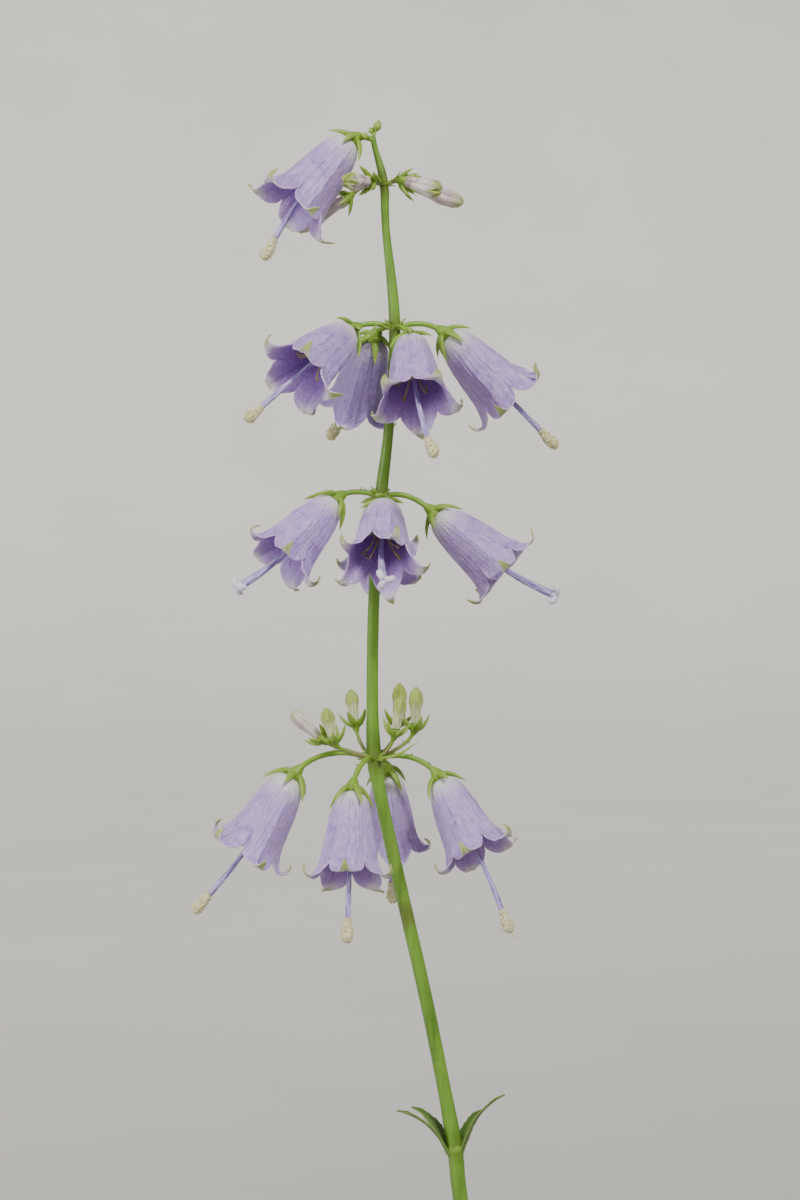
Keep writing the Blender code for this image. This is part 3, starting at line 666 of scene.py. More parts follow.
class Finish:
    """A material that is put together from nodes, ending in its Principled shader."""

    def __init__(self, name, **constants):
        self.material = bpy.data.materials.new(name)
        self.material.use_nodes = True
        self.tree = self.material.node_tree
        self.shader = self.tree.nodes["Principled BSDF"]
        for socket, value in constants.items():
            self.put(self.shader.inputs[socket.replace("_", " ")], value)

    def put(self, socket, value):
        """Links another node's output to a socket, or sets the socket's own value."""
        if isinstance(value, bpy.types.NodeSocket):
            self.tree.links.new(value, socket)
        elif hasattr(value, "__len__"):
            count = len(socket.default_value)
            socket.default_value = (*value, 1.0)[:count] if count > len(value) else tuple(value)
        else:
            socket.default_value = value

    def node(self, kind, **settings):
        made = self.tree.nodes.new(kind)
        for name, value in settings.items():
            setattr(made, name, value)
        return made

    def places(self, stretch=(1.0, 1.0, 1.0)):
        """Object coordinates in metres, stretched along each axis."""
        mapping = self.node("ShaderNodeMapping")
        self.put(mapping.inputs["Scale"], stretch)
        self.put(mapping.inputs["Vector"], self.node("ShaderNodeTexCoord").outputs["Object"])
        return mapping.outputs["Vector"]

    def mark(self, name):
        """A value that the mesh's points carry."""
        return self.node("ShaderNodeAttribute", attribute_name=name).outputs["Fac"]

    def noise(self, scale, detail=3.0, places=None, roughness=0.55, distortion=0.0):
        texture = self.node("ShaderNodeTexNoise")
        self.put(texture.inputs["Vector"], places or self.places())
        self.put(texture.inputs["Scale"], scale)
        self.put(texture.inputs["Detail"], detail)
        self.put(texture.inputs["Roughness"], roughness)
        self.put(texture.inputs["Distortion"], distortion)
        return texture.outputs["Fac"]

    def cells(self, scale):
        texture = self.node("ShaderNodeTexVoronoi")
        self.put(texture.inputs["Vector"], self.places())
        self.put(texture.inputs["Scale"], scale)
        return texture.outputs["Distance"]

    def streaks(self, detail, around, along):
        """Noise on a piece's own skin, with so many waves round it and along it."""
        places = self.node("ShaderNodeCombineXYZ")
        self.put(places.inputs["X"], self.times(self.mark("around"), around))
        self.put(places.inputs["Y"], self.times(self.mark("along"), along))
        return self.noise(1.0, detail, places.outputs["Vector"])

    def math(self, operation, first, second=0.0):
        made = self.node("ShaderNodeMath", operation=operation)
        for socket, value in zip(made.inputs, (first, second)):
            self.put(socket, value)
        return made.outputs[0]

    def times(self, first, second):
        return self.math("MULTIPLY", first, second)

    def plus(self, first, second):
        return self.math("ADD", first, second)

    def minus(self, first, second):
        return self.math("SUBTRACT", first, second)

    def between(self, value, low, high, start=0.0, end=1.0):
        """start below low, end above high, and smooth between them."""
        made = self.node("ShaderNodeMapRange", interpolation_type="SMOOTHSTEP")
        values = (value, low, high, start, end)
        for socket, number in zip(made.inputs, values):
            self.put(socket, number)
        return made.outputs["Result"]

    def mix(self, share, first, second):
        made = self.node("ShaderNodeMix", data_type="RGBA")
        self.put(made.inputs[0], share)
        self.put(made.inputs[6], first)
        self.put(made.inputs[7], second)
        return made.outputs[2]

    def colour(self, value):
        self.put(self.shader.inputs["Base Color"], value)

    def roughness(self, value):
        self.put(self.shader.inputs["Roughness"], value)

    def bump(self, height, distance, strength=1.0):
        """Adds a relief over the one that is there already."""
        made = self.node("ShaderNodeBump")
        self.put(made.inputs["Height"], height)
        self.put(made.inputs["Distance"], distance)
        self.put(made.inputs["Strength"], strength)
        normal = self.shader.inputs["Normal"]
        if normal.links:
            self.put(made.inputs["Normal"], normal.links[0].from_socket)
        self.put(normal, made.outputs["Normal"])


def petal_veins(finish):
    """The dark lines of a bell: a midrib in each lobe, one between lobes, and their branches."""
    across, along = finish.mark("across"), finish.mark("along")
    wander = finish.noise(420.0, 2.0)
    wobble = finish.times(finish.minus(wander, 0.5), 0.16)
    side = finish.plus(across, wobble)
    midrib = finish.between(finish.math("ABSOLUTE", side), 0.006, 0.028, 1.0, 0.0)
    seam = finish.between(finish.minus(1.0, side), 0.004, 0.04, 0.7, 0.0)
    apart = finish.math("ABSOLUTE", finish.minus(side, 0.46))
    lateral = finish.between(apart, 0.004, 0.03, 0.55, 0.0)
    rising = finish.times(along, 9.0)
    slanted = finish.minus(rising, finish.times(side, 3.4))
    wave = finish.math("PINGPONG", slanted, 0.5)
    branch = finish.between(wave, 0.004, 0.045, 0.45, 0.0)
    longest = finish.math("MAXIMUM", finish.math("MAXIMUM", midrib, seam), lateral)
    lines = finish.math("MAXIMUM", longest, branch)
    patches = finish.between(finish.noise(330.0, 3.0), 0.36, 0.62, 0.25, 1.0)
    return finish.times(lines, patches)


def petal_finish(name, inside):
    """Lilac petal with veins, blotches, a white base and green tips."""
    shades = colours()
    made = Finish(
        name,
        Roughness=0.42,
        Specular_IOR_Level=0.5,
        Subsurface_Weight=0.30,
        Subsurface_Radius=(1.0, 0.7, 1.0),
        Subsurface_Scale=0.8 * MM,
        Sheen_Weight=0.06,
        Sheen_Roughness=0.4,
    )
    along = made.mark("along")
    streaks = made.streaks(4.0, 130.0, 8.0)
    ripples = made.streaks(3.0, 95.0, 30.0)
    blotches = made.noise(210.0, 5.0, roughness=0.62, distortion=0.8)
    grain = made.noise(2300.0, 3.0, roughness=0.6)
    pale = shades.petal if inside else shades.petal_pale
    main = shades.petal_inside if inside else shades.petal
    strength = 0.5 if inside else 1.0
    lilac = made.mix(made.between(streaks, 0.34, 0.66, 0.2, 0.9), pale, main)
    deep = made.between(blotches, 0.48, 0.72, 0.0, 0.62 * strength)
    lilac = made.mix(deep, lilac, shades.petal_deep)
    # Painted highlight: the fine pale specks of this grain stand in for glints of light on the
    # petal; the same grain also sets the roughness and a fine bump.
    lilac = made.mix(made.between(grain, 0.50, 0.68, 0.0, 0.42), lilac, shades.petal_pale)
    # Painted light: inside a bell the colour pales towards the mouth, where light reaches the
    # lobes, and stays deeper in the shaded throat.
    if inside:
        lilac = made.mix(made.between(along, 0.62, 0.96, 0.0, 0.55), lilac, shades.petal_pale)
    deep = made.between(ripples, 0.54, 0.74, 0.0, 0.42 * strength)
    lilac = made.mix(deep, lilac, shades.petal_deep)
    veins = petal_veins(made)
    lilac = made.mix(made.times(veins, 0.76 * strength), lilac, shades.petal_vein)
    white = made.between(made.plus(along, made.times(streaks, 0.14)), 0.08, 0.40, 0.95, 0.0)
    # Painted shade: the bells in the shade of the others lose most of their white base and turn
    # towards the dull violet; the rest deepen a little at random.
    white = made.times(white, made.between(made.mark("painted_shade_and_tone"), 0.1, 0.8, 1.0, 0.2))
    lilac = made.mix(made.mark("painted_shade_and_tone"), lilac, shades.petal_painted_shade_and_dull_hue)
    lilac = made.mix(white, lilac, shades.petal_base)
    rim = made.between(made.mark("rim"), 0.60, 1.0, 0.0, 0.55)
    lilac = made.mix(rim, lilac, shades.petal_pale)
    ragged = made.plus(made.mark("tip"), made.times(made.noise(700.0, 2.0), 0.26))
    low, high = (0.52, 0.84) if inside else (0.70, 0.96)
    paler = made.between(ragged, low - 0.24, low + 0.04, 0.0, 0.6)
    lilac = made.mix(paler, lilac, shades.petal_base)
    green = made.between(ragged, low, high, 0.0, 0.9)
    made.colour(made.mix(green, lilac, shades.petal_tip))
    made.roughness(made.between(grain, 0.34, 0.66, 0.24, 0.52))
    made.bump(streaks, 0.12 * MM, 0.6)
    made.bump(ripples, 0.10 * MM, 0.55)
    made.bump(veins, 0.05 * MM, 0.7)
    made.bump(made.cells(2500.0), 0.11 * MM, 0.95)
    made.bump(grain, 0.05 * MM, 0.7)
    return made.material


def green_finish(name, first, second, streak=30.0, gloss=0.42):
    """Green of a stem or calyx, and its shade: long streaks, small pale dots, a soft shine."""
    made = Finish(
        name,
        Specular_IOR_Level=0.5,
        Subsurface_Weight=0.06,
        Subsurface_Radius=(0.8, 1.0, 0.4),
        Subsurface_Scale=0.5 * MM,
    )
    long_streaks = made.noise(streak, 4.0, made.places((14.0, 14.0, 1.0)))
    clouds = made.noise(190.0, 4.0)
    share = made.between(made.plus(long_streaks, made.times(clouds, 0.5)), 0.60, 1.05)
    shade = made.mix(share, first, second)
    dots = made.between(made.cells(1500.0), 0.05, 0.16, 0.35, 0.0)
    shade = made.mix(dots, shade, colours().sepal_tip)
    made.roughness(made.between(made.noise(1400.0, 3.0), 0.3, 0.7, gloss - 0.1, gloss + 0.14))
    made.bump(long_streaks, 0.10 * MM, 0.6)
    made.bump(made.noise(3200.0, 3.0), 0.04 * MM, 0.6)
    return made, shade


def stem_finish():
    """Stem green with a brownish band by each node: partly the stem's own colour, partly painted
    shade where the whorls crowd round it.
    """
    made, shade = green_finish("stem_skin", colours().stem, colours().stem_deep)
    ragged = made.between(made.noise(500.0, 2.0), 0.3, 0.6, 0.6, 1.0)
    band = made.times(made.mark("node"), ragged)
    made.colour(made.mix(band, shade, colours().stem_node))
    return made.material


def calyx_finish():
    """Calyx green that turns yellow towards the tips of the sepals."""
    made, shade = green_finish("calyx_skin", colours().calyx, colours().stem, streak=60.0)
    yellow = made.between(made.mark("yellow"), 0.1, 1.0, 0.0, 0.7)
    shade = made.mix(yellow, shade, colours().sepal_tip)
    made.colour(made.mix(made.mark("dry"), shade, colours().stalk_dry))
    return made.material


def leaf_finish():
    """Dark green with a pale rib, veins that slant out from it, and a pale edge."""
    greens = (colours().leaf, colours().stem_deep)
    made, shade = green_finish("leaf_skin", *greens, streak=80.0, gloss=0.46)
    side = made.math("ABSOLUTE", made.mark("across"))
    rib = made.between(side, 0.03, 0.14, 0.9, 0.0)
    slanted = made.minus(made.times(made.mark("along"), 16.0), made.times(side, 2.2))
    veins = made.between(made.math("PINGPONG", slanted, 0.5), 0.02, 0.12, 0.4, 0.0)
    lines = made.math("MAXIMUM", rib, veins)
    edge = made.between(side, 0.86, 1.0, 0.0, 0.5)
    made.colour(made.mix(made.math("MAXIMUM", lines, edge), shade, colours().leaf_rib))
    made.bump(lines, -0.06 * MM, 0.6)
    return made.material


def style_finish():
    """Lilac that is paler towards the bell and has pale specks."""
    shades = colours()
    made = Finish(
        "style_skin",
        Specular_IOR_Level=0.4,
        Subsurface_Weight=0.25,
        Subsurface_Radius=(1.0, 0.8, 1.0),
        Subsurface_Scale=0.6 * MM,
        Sheen_Weight=0.3,
    )
    streaks = made.streaks(3.0, 14.0, 9.0)
    shade = made.mix(made.between(streaks, 0.35, 0.7), shades.style, shades.style_pale)
    pale = made.between(made.mark("along"), 0.12, 0.62, 0.75, 0.0)
    shade = made.mix(pale, shade, shades.style_pale)
    specks = made.between(made.cells(2600.0), 0.08, 0.2, 0.6, 0.0)
    shade = made.mix(specks, shade, shades.stigma)
    made.colour(shade)
    made.roughness(made.between(streaks, 0.3, 0.7, 0.42, 0.62))
    made.bump(streaks, 0.08 * MM, 0.6)
    made.bump(made.noise(4200.0, 3.0), 0.04 * MM, 0.7)
    return made.material


def grainy_finish(name, first, second, scale, depth, roughness):
    """Pollen and stigma: a pale grainy surface with painted shade, in the second colour, in the
    hollows between the grains.
    """
    made = Finish(
        name,
        Specular_IOR_Level=0.25,
        Subsurface_Weight=0.2,
        Subsurface_Radius=(1.0, 0.9, 0.7),
        Subsurface_Scale=0.5 * MM,
        Sheen_Weight=0.2,
    )
    cells = made.cells(scale)
    clouds = made.noise(700.0, 4.0)
    share = made.between(made.plus(cells, made.times(clouds, 0.6)), 0.45, 1.0)
    # Painted shade: the second colour fills the hollows between the grains.
    made.colour(made.mix(share, first, second))
    made.roughness(made.between(clouds, 0.3, 0.7, roughness - 0.12, roughness + 0.06))
    made.bump(cells, -depth, 0.9)
    made.bump(made.noise(scale * 2.2, 2.0), depth * 0.5, 0.7)
    return made.material


def thread_finish(name, first, second):
    """A dry thread, streaked along its length."""
    made = Finish(name, Specular_IOR_Level=0.3, Subsurface_Weight=0.1, Subsurface_Scale=0.4 * MM)
    streaks = made.streaks(3.0, 8.0, 12.0)
    clouds = made.noise(1100.0, 3.0)
    made.colour(made.mix(made.between(made.plus(streaks, clouds), 0.75, 1.25), first, second))
    made.roughness(made.between(clouds, 0.3, 0.7, 0.5, 0.75))
    made.bump(streaks, 0.06 * MM, 0.7)
    return made.material


def bud_finish(kind):
    """A closed bud: seams between its five petals, and a green end."""
    shades = colours()
    body = shades.bud_pale if kind == "green" else shades.bud_rosy
    made = Finish(
        f"bud_skin_{kind}",
        Specular_IOR_Level=0.42,
        Subsurface_Weight=0.28,
        Subsurface_Radius=(1.0, 0.9, 0.8),
        Subsurface_Scale=0.9 * MM,
        Sheen_Weight=0.15,
    )
    along, across = made.mark("along"), made.mark("across")
    clouds = made.noise(420.0, 5.0, roughness=0.6)
    streaks = made.streaks(3.0, 40.0, 5.0)
    second = shades.bud_green if kind == "green" else shades.bud_pale
    shade = made.mix(made.between(streaks, 0.3, 0.75, 0.0, 0.7), body, second)
    if kind != "green":
        blush = 0.90 if kind == "opening" else 0.36
        shade = made.mix(made.between(clouds, 0.42, 0.64, 0.0, blush), shade, shades.bud_blush)
    seam = made.between(made.minus(1.0, across), 0.02, 0.16, 0.55, 0.0)
    shade = made.mix(seam, shade, shades.stem_deep if kind == "green" else shades.petal_vein)
    start = BUD_GREEN_START[kind]
    reach = made.plus(along, made.times(clouds, 0.12))
    reach = made.minus(reach, made.times(across, 0.16))
    tip = made.between(reach, start - 0.08, start + 0.26, 0.0, 0.95)
    made.colour(made.mix(tip, shade, shades.bud_green))
    made.roughness(made.between(clouds, 0.3, 0.7, 0.36, 0.55))
    made.bump(seam, -0.12 * MM, 0.8)
    made.bump(streaks, 0.06 * MM, 0.6)
    made.bump(made.noise(3000.0, 3.0), 0.04 * MM, 0.6)
    return made.material


def clear_finish(name, tint, ior, waves):
    """Glass or water: clear, with faint waves in its surface."""
    made = Finish(name, Transmission_Weight=1.0, IOR=ior)
    clearer = made.between(made.noise(35.0, 2.0), 0.3, 0.7, 0.0, 0.35)
    made.colour(made.mix(clearer, tint, (1.0, 1.0, 1.0)))
    made.roughness(made.between(made.noise(160.0, 3.0), 0.45, 0.8, 0.0, 0.025))
    made.bump(made.noise(45.0, 1.0, made.places((1.0, 1.0, 0.35))), waves, 0.25)
    return made.material


def floor_finish():
    """Pale, with clouds that hardly show and a fine grain."""
    made = Finish("floor_skin", Specular_IOR_Level=0.2)
    clouds = made.noise(6.0, 4.0)
    dark = tuple(channel * 0.96 for channel in colours().floor)
    made.colour(made.mix(made.between(clouds, 0.3, 0.7), colours().floor, dark))
    made.roughness(made.between(clouds, 0.3, 0.7, 0.72, 0.82))
    made.bump(made.noise(900.0, 3.0), 0.05 * MM, 0.3)
    return made.material


# The vase and its water


def turned(name, outline):
    """A shape turned about the vase's axis: one point is extruded along the outline and spun."""
    select_only()
    bpy.ops.mesh.primitive_plane_add(size=1 * MM)
    made = bpy.context.active_object
    made.name = name
    bpy.ops.object.mode_set(mode="EDIT")
    bpy.ops.mesh.select_mode(type="VERT")
    bpy.ops.mesh.select_all(action="SELECT")
    bpy.ops.mesh.merge(type="CENTER")
    here = Vector((0.0, 0.0, 0.0))
    for index, (radius, height) in enumerate(outline):
        there = Vector((radius, 0.0, height))
        if index == 0:
            bpy.ops.transform.translate(value=there - here)
        else:
            bpy.ops.mesh.extrude_region_move(TRANSFORM_OT_translate={"value": there - here})
        here = there
    bpy.ops.mesh.select_all(action="SELECT")
    bpy.ops.mesh.spin(steps=TURN_STEPS, angle=math.tau, center=(0, 0, 0), axis=(0, 0, 1))
    bpy.ops.mesh.select_all(action="SELECT")
    bpy.ops.mesh.remove_doubles(threshold=WELD)
    bpy.ops.mesh.normals_make_consistent(inside=False)
    bpy.ops.object.mode_set(mode="OBJECT")
    bpy.ops.object.shade_smooth_by_angle(angle=math.radians(40))
    if len(made.data.vertices) < TURN_STEPS * len(outline) // 2:
        raise RuntimeError(f"{name} wasn't turned")
    return made


def inner_wall():
    """The vase's inner wall from its floor up, as radius and height."""
    wall = [(VASE_FLOOR_RADIUS, VASE_FLOOR)]
    wall += [(radius - VASE_WALL, height) for radius, height in VASE_OUTLINE[1:-1]]
    return [*wall, (VASE_MOUTH_RADIUS, VASE_HEIGHT)]


def smooth_wall(outline, steps):
    points = [Vector((radius, 0.0, height)) for radius, height in outline]
    return [(point.x, point.z) for point in smooth_points(points, steps)]


def arc(centre, radius, start, end, steps):
    """Points of radius and height on an arc, its angles in degrees from straight outwards."""
    points = []
    for step in range(steps + 1):
        angle = math.radians(start + (end - start) * step / steps)
        points.append((centre[0] + radius * math.cos(angle), centre[1] + radius * math.sin(angle)))
    return points


def floor_corner():
    """The round corner between the vase's floor and its inner wall."""
    centre = (VASE_FLOOR_RADIUS - VASE_CORNER, VASE_FLOOR + VASE_CORNER)
    return arc(centre, VASE_CORNER, -90, 0, 6)


def vase_outline():
    """The closed line of the glass: foot, outside, round lip, inside and floor."""
    outside = smooth_wall(VASE_OUTLINE, 44)
    inside = smooth_wall(inner_wall(), 44)
    lip_radius = (VASE_OUTLINE[-1][0] - VASE_MOUTH_RADIUS) / 2
    lip_centre = (VASE_MOUTH_RADIUS + lip_radius, VASE_HEIGHT - lip_radius)
    outside = [point for point in outside if point[1] < lip_centre[1]]
    inside = [point for point in inside if point[1] < lip_centre[1]]
    lip = arc(lip_centre, lip_radius, 0, 180, 8)
    foot = arc((VASE_FOOT_RADIUS - 1 * MM, VASE_FOOT_ROUND), VASE_FOOT_ROUND, -90, -25, 5)
    hollow = [
        (0.0, 0.9 * MM),
        (VASE_FOOT_RADIUS * 0.55, 0.7 * MM),
        (VASE_FOOT_RADIUS * 0.82, 0.25 * MM),
    ]
    corner = floor_corner()[::-1]
    inside = [point for point in inside if point[1] > VASE_FLOOR + VASE_CORNER]
    floor = [(VASE_FLOOR_RADIUS * 0.4, VASE_FLOOR - 0.15 * MM), (0.0, VASE_FLOOR - 0.2 * MM)]
    return [*hollow, *foot, *outside, *lip, *inside[::-1], *corner, *floor]


def build_vase():
    vase = turned("glass_vase", vase_outline())
    paint(vase, clear_finish("vase_glass", colours().glass, 1.46, 0.3 * MM))
    keep(vase, "glass", "vase")


def build_water():
    """The water, which wets the glass and rises a little at it."""
    wall = smooth_wall(inner_wall(), 60)
    wall = [point for point in wall if VASE_FLOOR + VASE_CORNER < point[1] < WATER_LEVEL]
    edge = wall[-1][0]
    rise = sizes().meniscus
    surface = []
    for step in range(7):
        left = 1 - step / 6
        surface.append((edge - (1 - left**2) * 3.2 * rise, WATER_LEVEL + rise * left**3))
    outline = [(0.0, VASE_FLOOR - 0.1 * MM), *floor_corner(), *wall, *surface, (0.0, WATER_LEVEL)]
    outline = [(radius + 0.02 * MM if radius > 0 else 0.0, height) for radius, height in outline]
    water = turned("vase_water", outline)
    paint(water, clear_finish("water_clear", colours().water, 1.333, 0.05 * MM))
    keep(water, "water", "water")


# The stem, its leaves, bracts and tip


def build_stem():
    """The main stem with fine ribs and darker bands where it bears leaves and flowers: partly its
    own brownish colour, partly painted shade.
    """
    route = [Vector((x, 0.0, z)) for x, z, _ in STEM_LINE]
    spans = [(b - a).length for a, b in zip(route, route[1:])]
    line, radii = [], []
    for index, span in enumerate(spans):
        steps = max(4, round(span / (1.8 * MM)))
        for step in range(steps):
            t = step / steps
            line.append(smooth_line(route, (sum(spans[:index]) + span * t) / sum(spans)))
            ease = t * t * (3 - 2 * t)
            radii.append(STEM_LINE[index][2] * (1 - ease) + STEM_LINE[index + 1][2] * ease)
    line.append(route[-1])
    radii.append(STEM_LINE[-1][2])
    bearing = [NODES[name].z for name in ("leaves", "whorl_1", "whorl_2", "whorl_3", "whorl_4")]
    bearing.append(198 * MM)

    def swell(angle, share):
        return 1 + 0.035 * math.cos(5 * angle + 0.9) + 0.012 * math.sin(3 * angle + 40 * share)

    # The node mark: partly the stem's own brownish colour by its nodes, partly painted shade under
    # the leaves and whorls, stronger among the flowers.
    def marks(u, share):
        height = line[round(share * (len(line) - 1))].z
        near = min(abs(height - level) for level in bearing)
        dark = 0.25 if height < 170 * MM else 0.75
        return {"node": dark * (1 - step_between(0.4 * MM, 4.2 * MM, near))}

    stem = tube("main_stem", line, radii, 30, swell=swell, marks=marks)
    paint(stem, stem_finish())
    keep(stem, "stem", "flower_stalk")


def leaf_blade(name, angle, length, half_width, rise):
    """A narrow leaf with small teeth, folded along its rib and arched outwards."""
    lift = math.radians(rise)
    teeth = 7

    def place(u, v):
        side = 2 * u - 1
        out = 1.3 * MM + (length - 1.3 * MM) * (math.cos(lift) * 0.78 * v + 0.23 * v**2.2)
        up = length * (math.sin(lift) * 1.16 * v - 0.26 * v**2.2) - (0.5 + 1.3 * (1 - v) ** 3) * MM
        width = half_width * 1.15 * math.sin(math.pi * min(1.0, 0.24 + 0.76 * v)) ** 0.75
        saw = (v * teeth + (0.35 if side > 0 else 0.0)) % 1.0
        tooth = 1 + 0.26 * saw**3 * abs(side) ** 5 * (0.25 < v < 0.92)
        across = side * max(width, 0.04 * MM) * tooth
        cup = 0.30 * abs(across) - 0.10 * MM * math.exp(-((side / 0.14) ** 2))
        wave = 0.12 * MM * abs(side) * math.sin(v * 17 + (1.3 if side > 0 else 0.0))
        return Vector((out, across, up + cup + wave))

    def marks(u, v):
        return {"across": 2 * u - 1, "along": v, "node": 0.0}

    blade = wrapped_grid(name, 24, 84, place, marks)
    moved(blade, Matrix.Translation(NODES["leaves"]) @ Matrix.Rotation(math.radians(angle), 4, "Z"))
    give_wall(blade, sizes().leaf_thickness)
    return blade


def build_leaves():
    """The four leaves, and the collar where their bases meet round the stem."""
    skin = leaf_finish()
    for number, (angle, length, half_width, rise) in enumerate(LEAVES):
        blade = leaf_blade(f"leaf_{number + 1}", angle, length, half_width, rise)
        paint(blade, skin, skin)
        keep(blade, "stem")
    middle = NODES["leaves"]
    way = Vector((-11.0, 0.0, 62.0)).normalized()
    line = [middle + way * (step * 0.22 + 0.1) * MM for step in range(-5, 6)]
    radii = []
    for step in range(-5, 6):
        radii.append((1.58 + 0.24 * math.cos(math.pi * (step + 1) / 14.0) ** 2) * MM)

    def swell(angle, share):
        return 1 + 0.03 * math.sin(4 * angle) * share

    collar = tube("leaf_collar", line, radii, 40, swell=swell)
    paint(collar, calyx_finish())
    keep(collar, "stem")


def scale_leaf(name, line, half_width, flat, side, yellow=0.0):
    """A small pointed scale along a line: a sepal or a bract."""
    radii = []
    for index in range(len(line)):
        share = index / (len(line) - 1)
        root = 0.80 + 0.20 * step_between(0.0, 0.22, share)
        radii.append(half_width * root * max(0.03, 1 - share**2.1) ** 0.90)

    def swell(angle, share):
        return 1 - 0.16 * math.exp(-((math.sin(angle) - 1) / 0.25) ** 2)

    def marks(u, share):
        return {"yellow": yellow + (1 - yellow) * share}

    return tube(name, line, radii, 12, side=side, flat=flat, swell=swell, marks=marks)


def build_bracts():
    """The small pointed scales round each whorl."""
    skin = calyx_finish()
    _, drawn = drawn_shapes()
    for node, shapes in drawn.items():
        scales = []
        for number, (angle, length, lift) in enumerate(shapes):
            out = Vector((math.cos(angle), math.sin(angle), 0.0))
            start = NODES[node] + Vector((0.0, 0.0, -0.3 * MM))
            route = [
                start + out * 0.4 * MM,
                start + (out + UP * lift * 0.6) * length * 0.6,
                start + (out + UP * lift) * length,
            ]
            side = UP.cross(out)
            line = smooth_points(route, 12)
            scales.append(scale_leaf(f"bract_{number}", line, 0.60 * MM, 0.5, side))
        pick = random.Random(f"scales {node}")
        for number in range(SMALL_SCALES[node]):
            angle = pick.uniform(0, math.tau)
            out = Vector((math.cos(angle), math.sin(angle), 0.0))
            tall = pick.uniform(1.3, 3.0) * MM
            start = NODES[node] + out * 1.0 * MM + UP * pick.uniform(-0.6, 0.7) * MM
            way = (out * pick.uniform(0.5, 1.1) + UP * pick.uniform(0.1, 1.0)).normalized()
            route = [start, start + way * tall * 0.5 + UP * 0.1 * MM, start + way * tall]
            side = (UP + out * 0.3).cross(out)
            line = smooth_points(route, 8)
            scales.append(scale_leaf(f"small_{number}", line, 0.46 * MM, 0.7, side, 0.7))
        if node == "whorl_4":
            route = [NODES[node] + Vector(spot) * MM for spot in LONG_BRACT]
            side = Vector((0.0, 1.0, 0.3))
            line = smooth_points(route, 24)
            scales.append(scale_leaf("long_bract", line, 0.50 * MM, 0.7, side, 0.4))
        whorl = joined(f"bracts_{node}", scales)
        paint(whorl, skin)
        keep(whorl, "stem")


def build_tip():
    """The three tiny green buds that end the stem."""
    shapes = []
    start = NODES["tip"]

    def swell(angle, share):
        return 1 + 0.10 * math.cos(5 * angle) * share

    def marks(u, share):
        return {"yellow": 0.3 + 0.5 * share}

    for number, (way, length, radius) in enumerate(TIP_BUDS):
        end = start + way * length * 1.12
        line = smooth_points([start, start.lerp(end, 0.5) - 0.25 * MM * UP, end], 16)
        radii = []
        for step in range(17):
            share = step / 16
            body = step_between(0.30, 0.62, share) * (1 - max(0.0, (share - 0.60) / 0.40) ** 1.8)
            radii.append(0.24 * MM * (1 - 0.6 * share) + (radius + 0.02 * MM) * body)
        radii[-1] = 0.05 * MM
        shapes.append(tube(f"tip_{number}", line, radii, 15, swell=swell, marks=marks))
    tip = joined("stem_tip", shapes)
    paint(tip, calyx_finish())
    keep(tip, "stem")


# Stalks, calyces and sepals


def stalk_line(node, place, out, steps):
    """The line of a flower's stalk, from inside the main stem to the end of its calyx."""
    start = NODES[node] - 0.5 * MM * UP
    reach = Vector((place.x - start.x, place.y - start.y, 0.0))
    length = (place - start).length
    leaving = (reach.normalized() + 0.52 * UP) * length * 1.1
    return bent_line(start, leaving, place, out * length, steps)


def calyx_radii(line, thin, length, wide):
    """Radii of a stalk that swells into the calyx over its last stretch."""
    radii = []
    for index in range(len(line)):
        left = sum((b - a).length for a, b in zip(line[index:], line[index + 1 :]))
        share = max(0.0, 1 - left / length)
        radii.append(thin + (wide - thin) * share**0.8)
    return radii


def stalk_knob(name, line, radius, share, turn):
    """A tiny scale that sits on a stalk."""
    index = int(share * (len(line) - 1))
    along, side = carried_sides(line)[index]
    out = (Matrix.Rotation(turn, 3, along) @ side).normalized()
    root = line[index]
    route = [root, root + out * radius * 1.6, root + out * radius * 2.1 + along * radius * 0.9]
    return scale_leaf(name, smooth_points(route, 6), radius * 0.55, 0.7, along.cross(out))


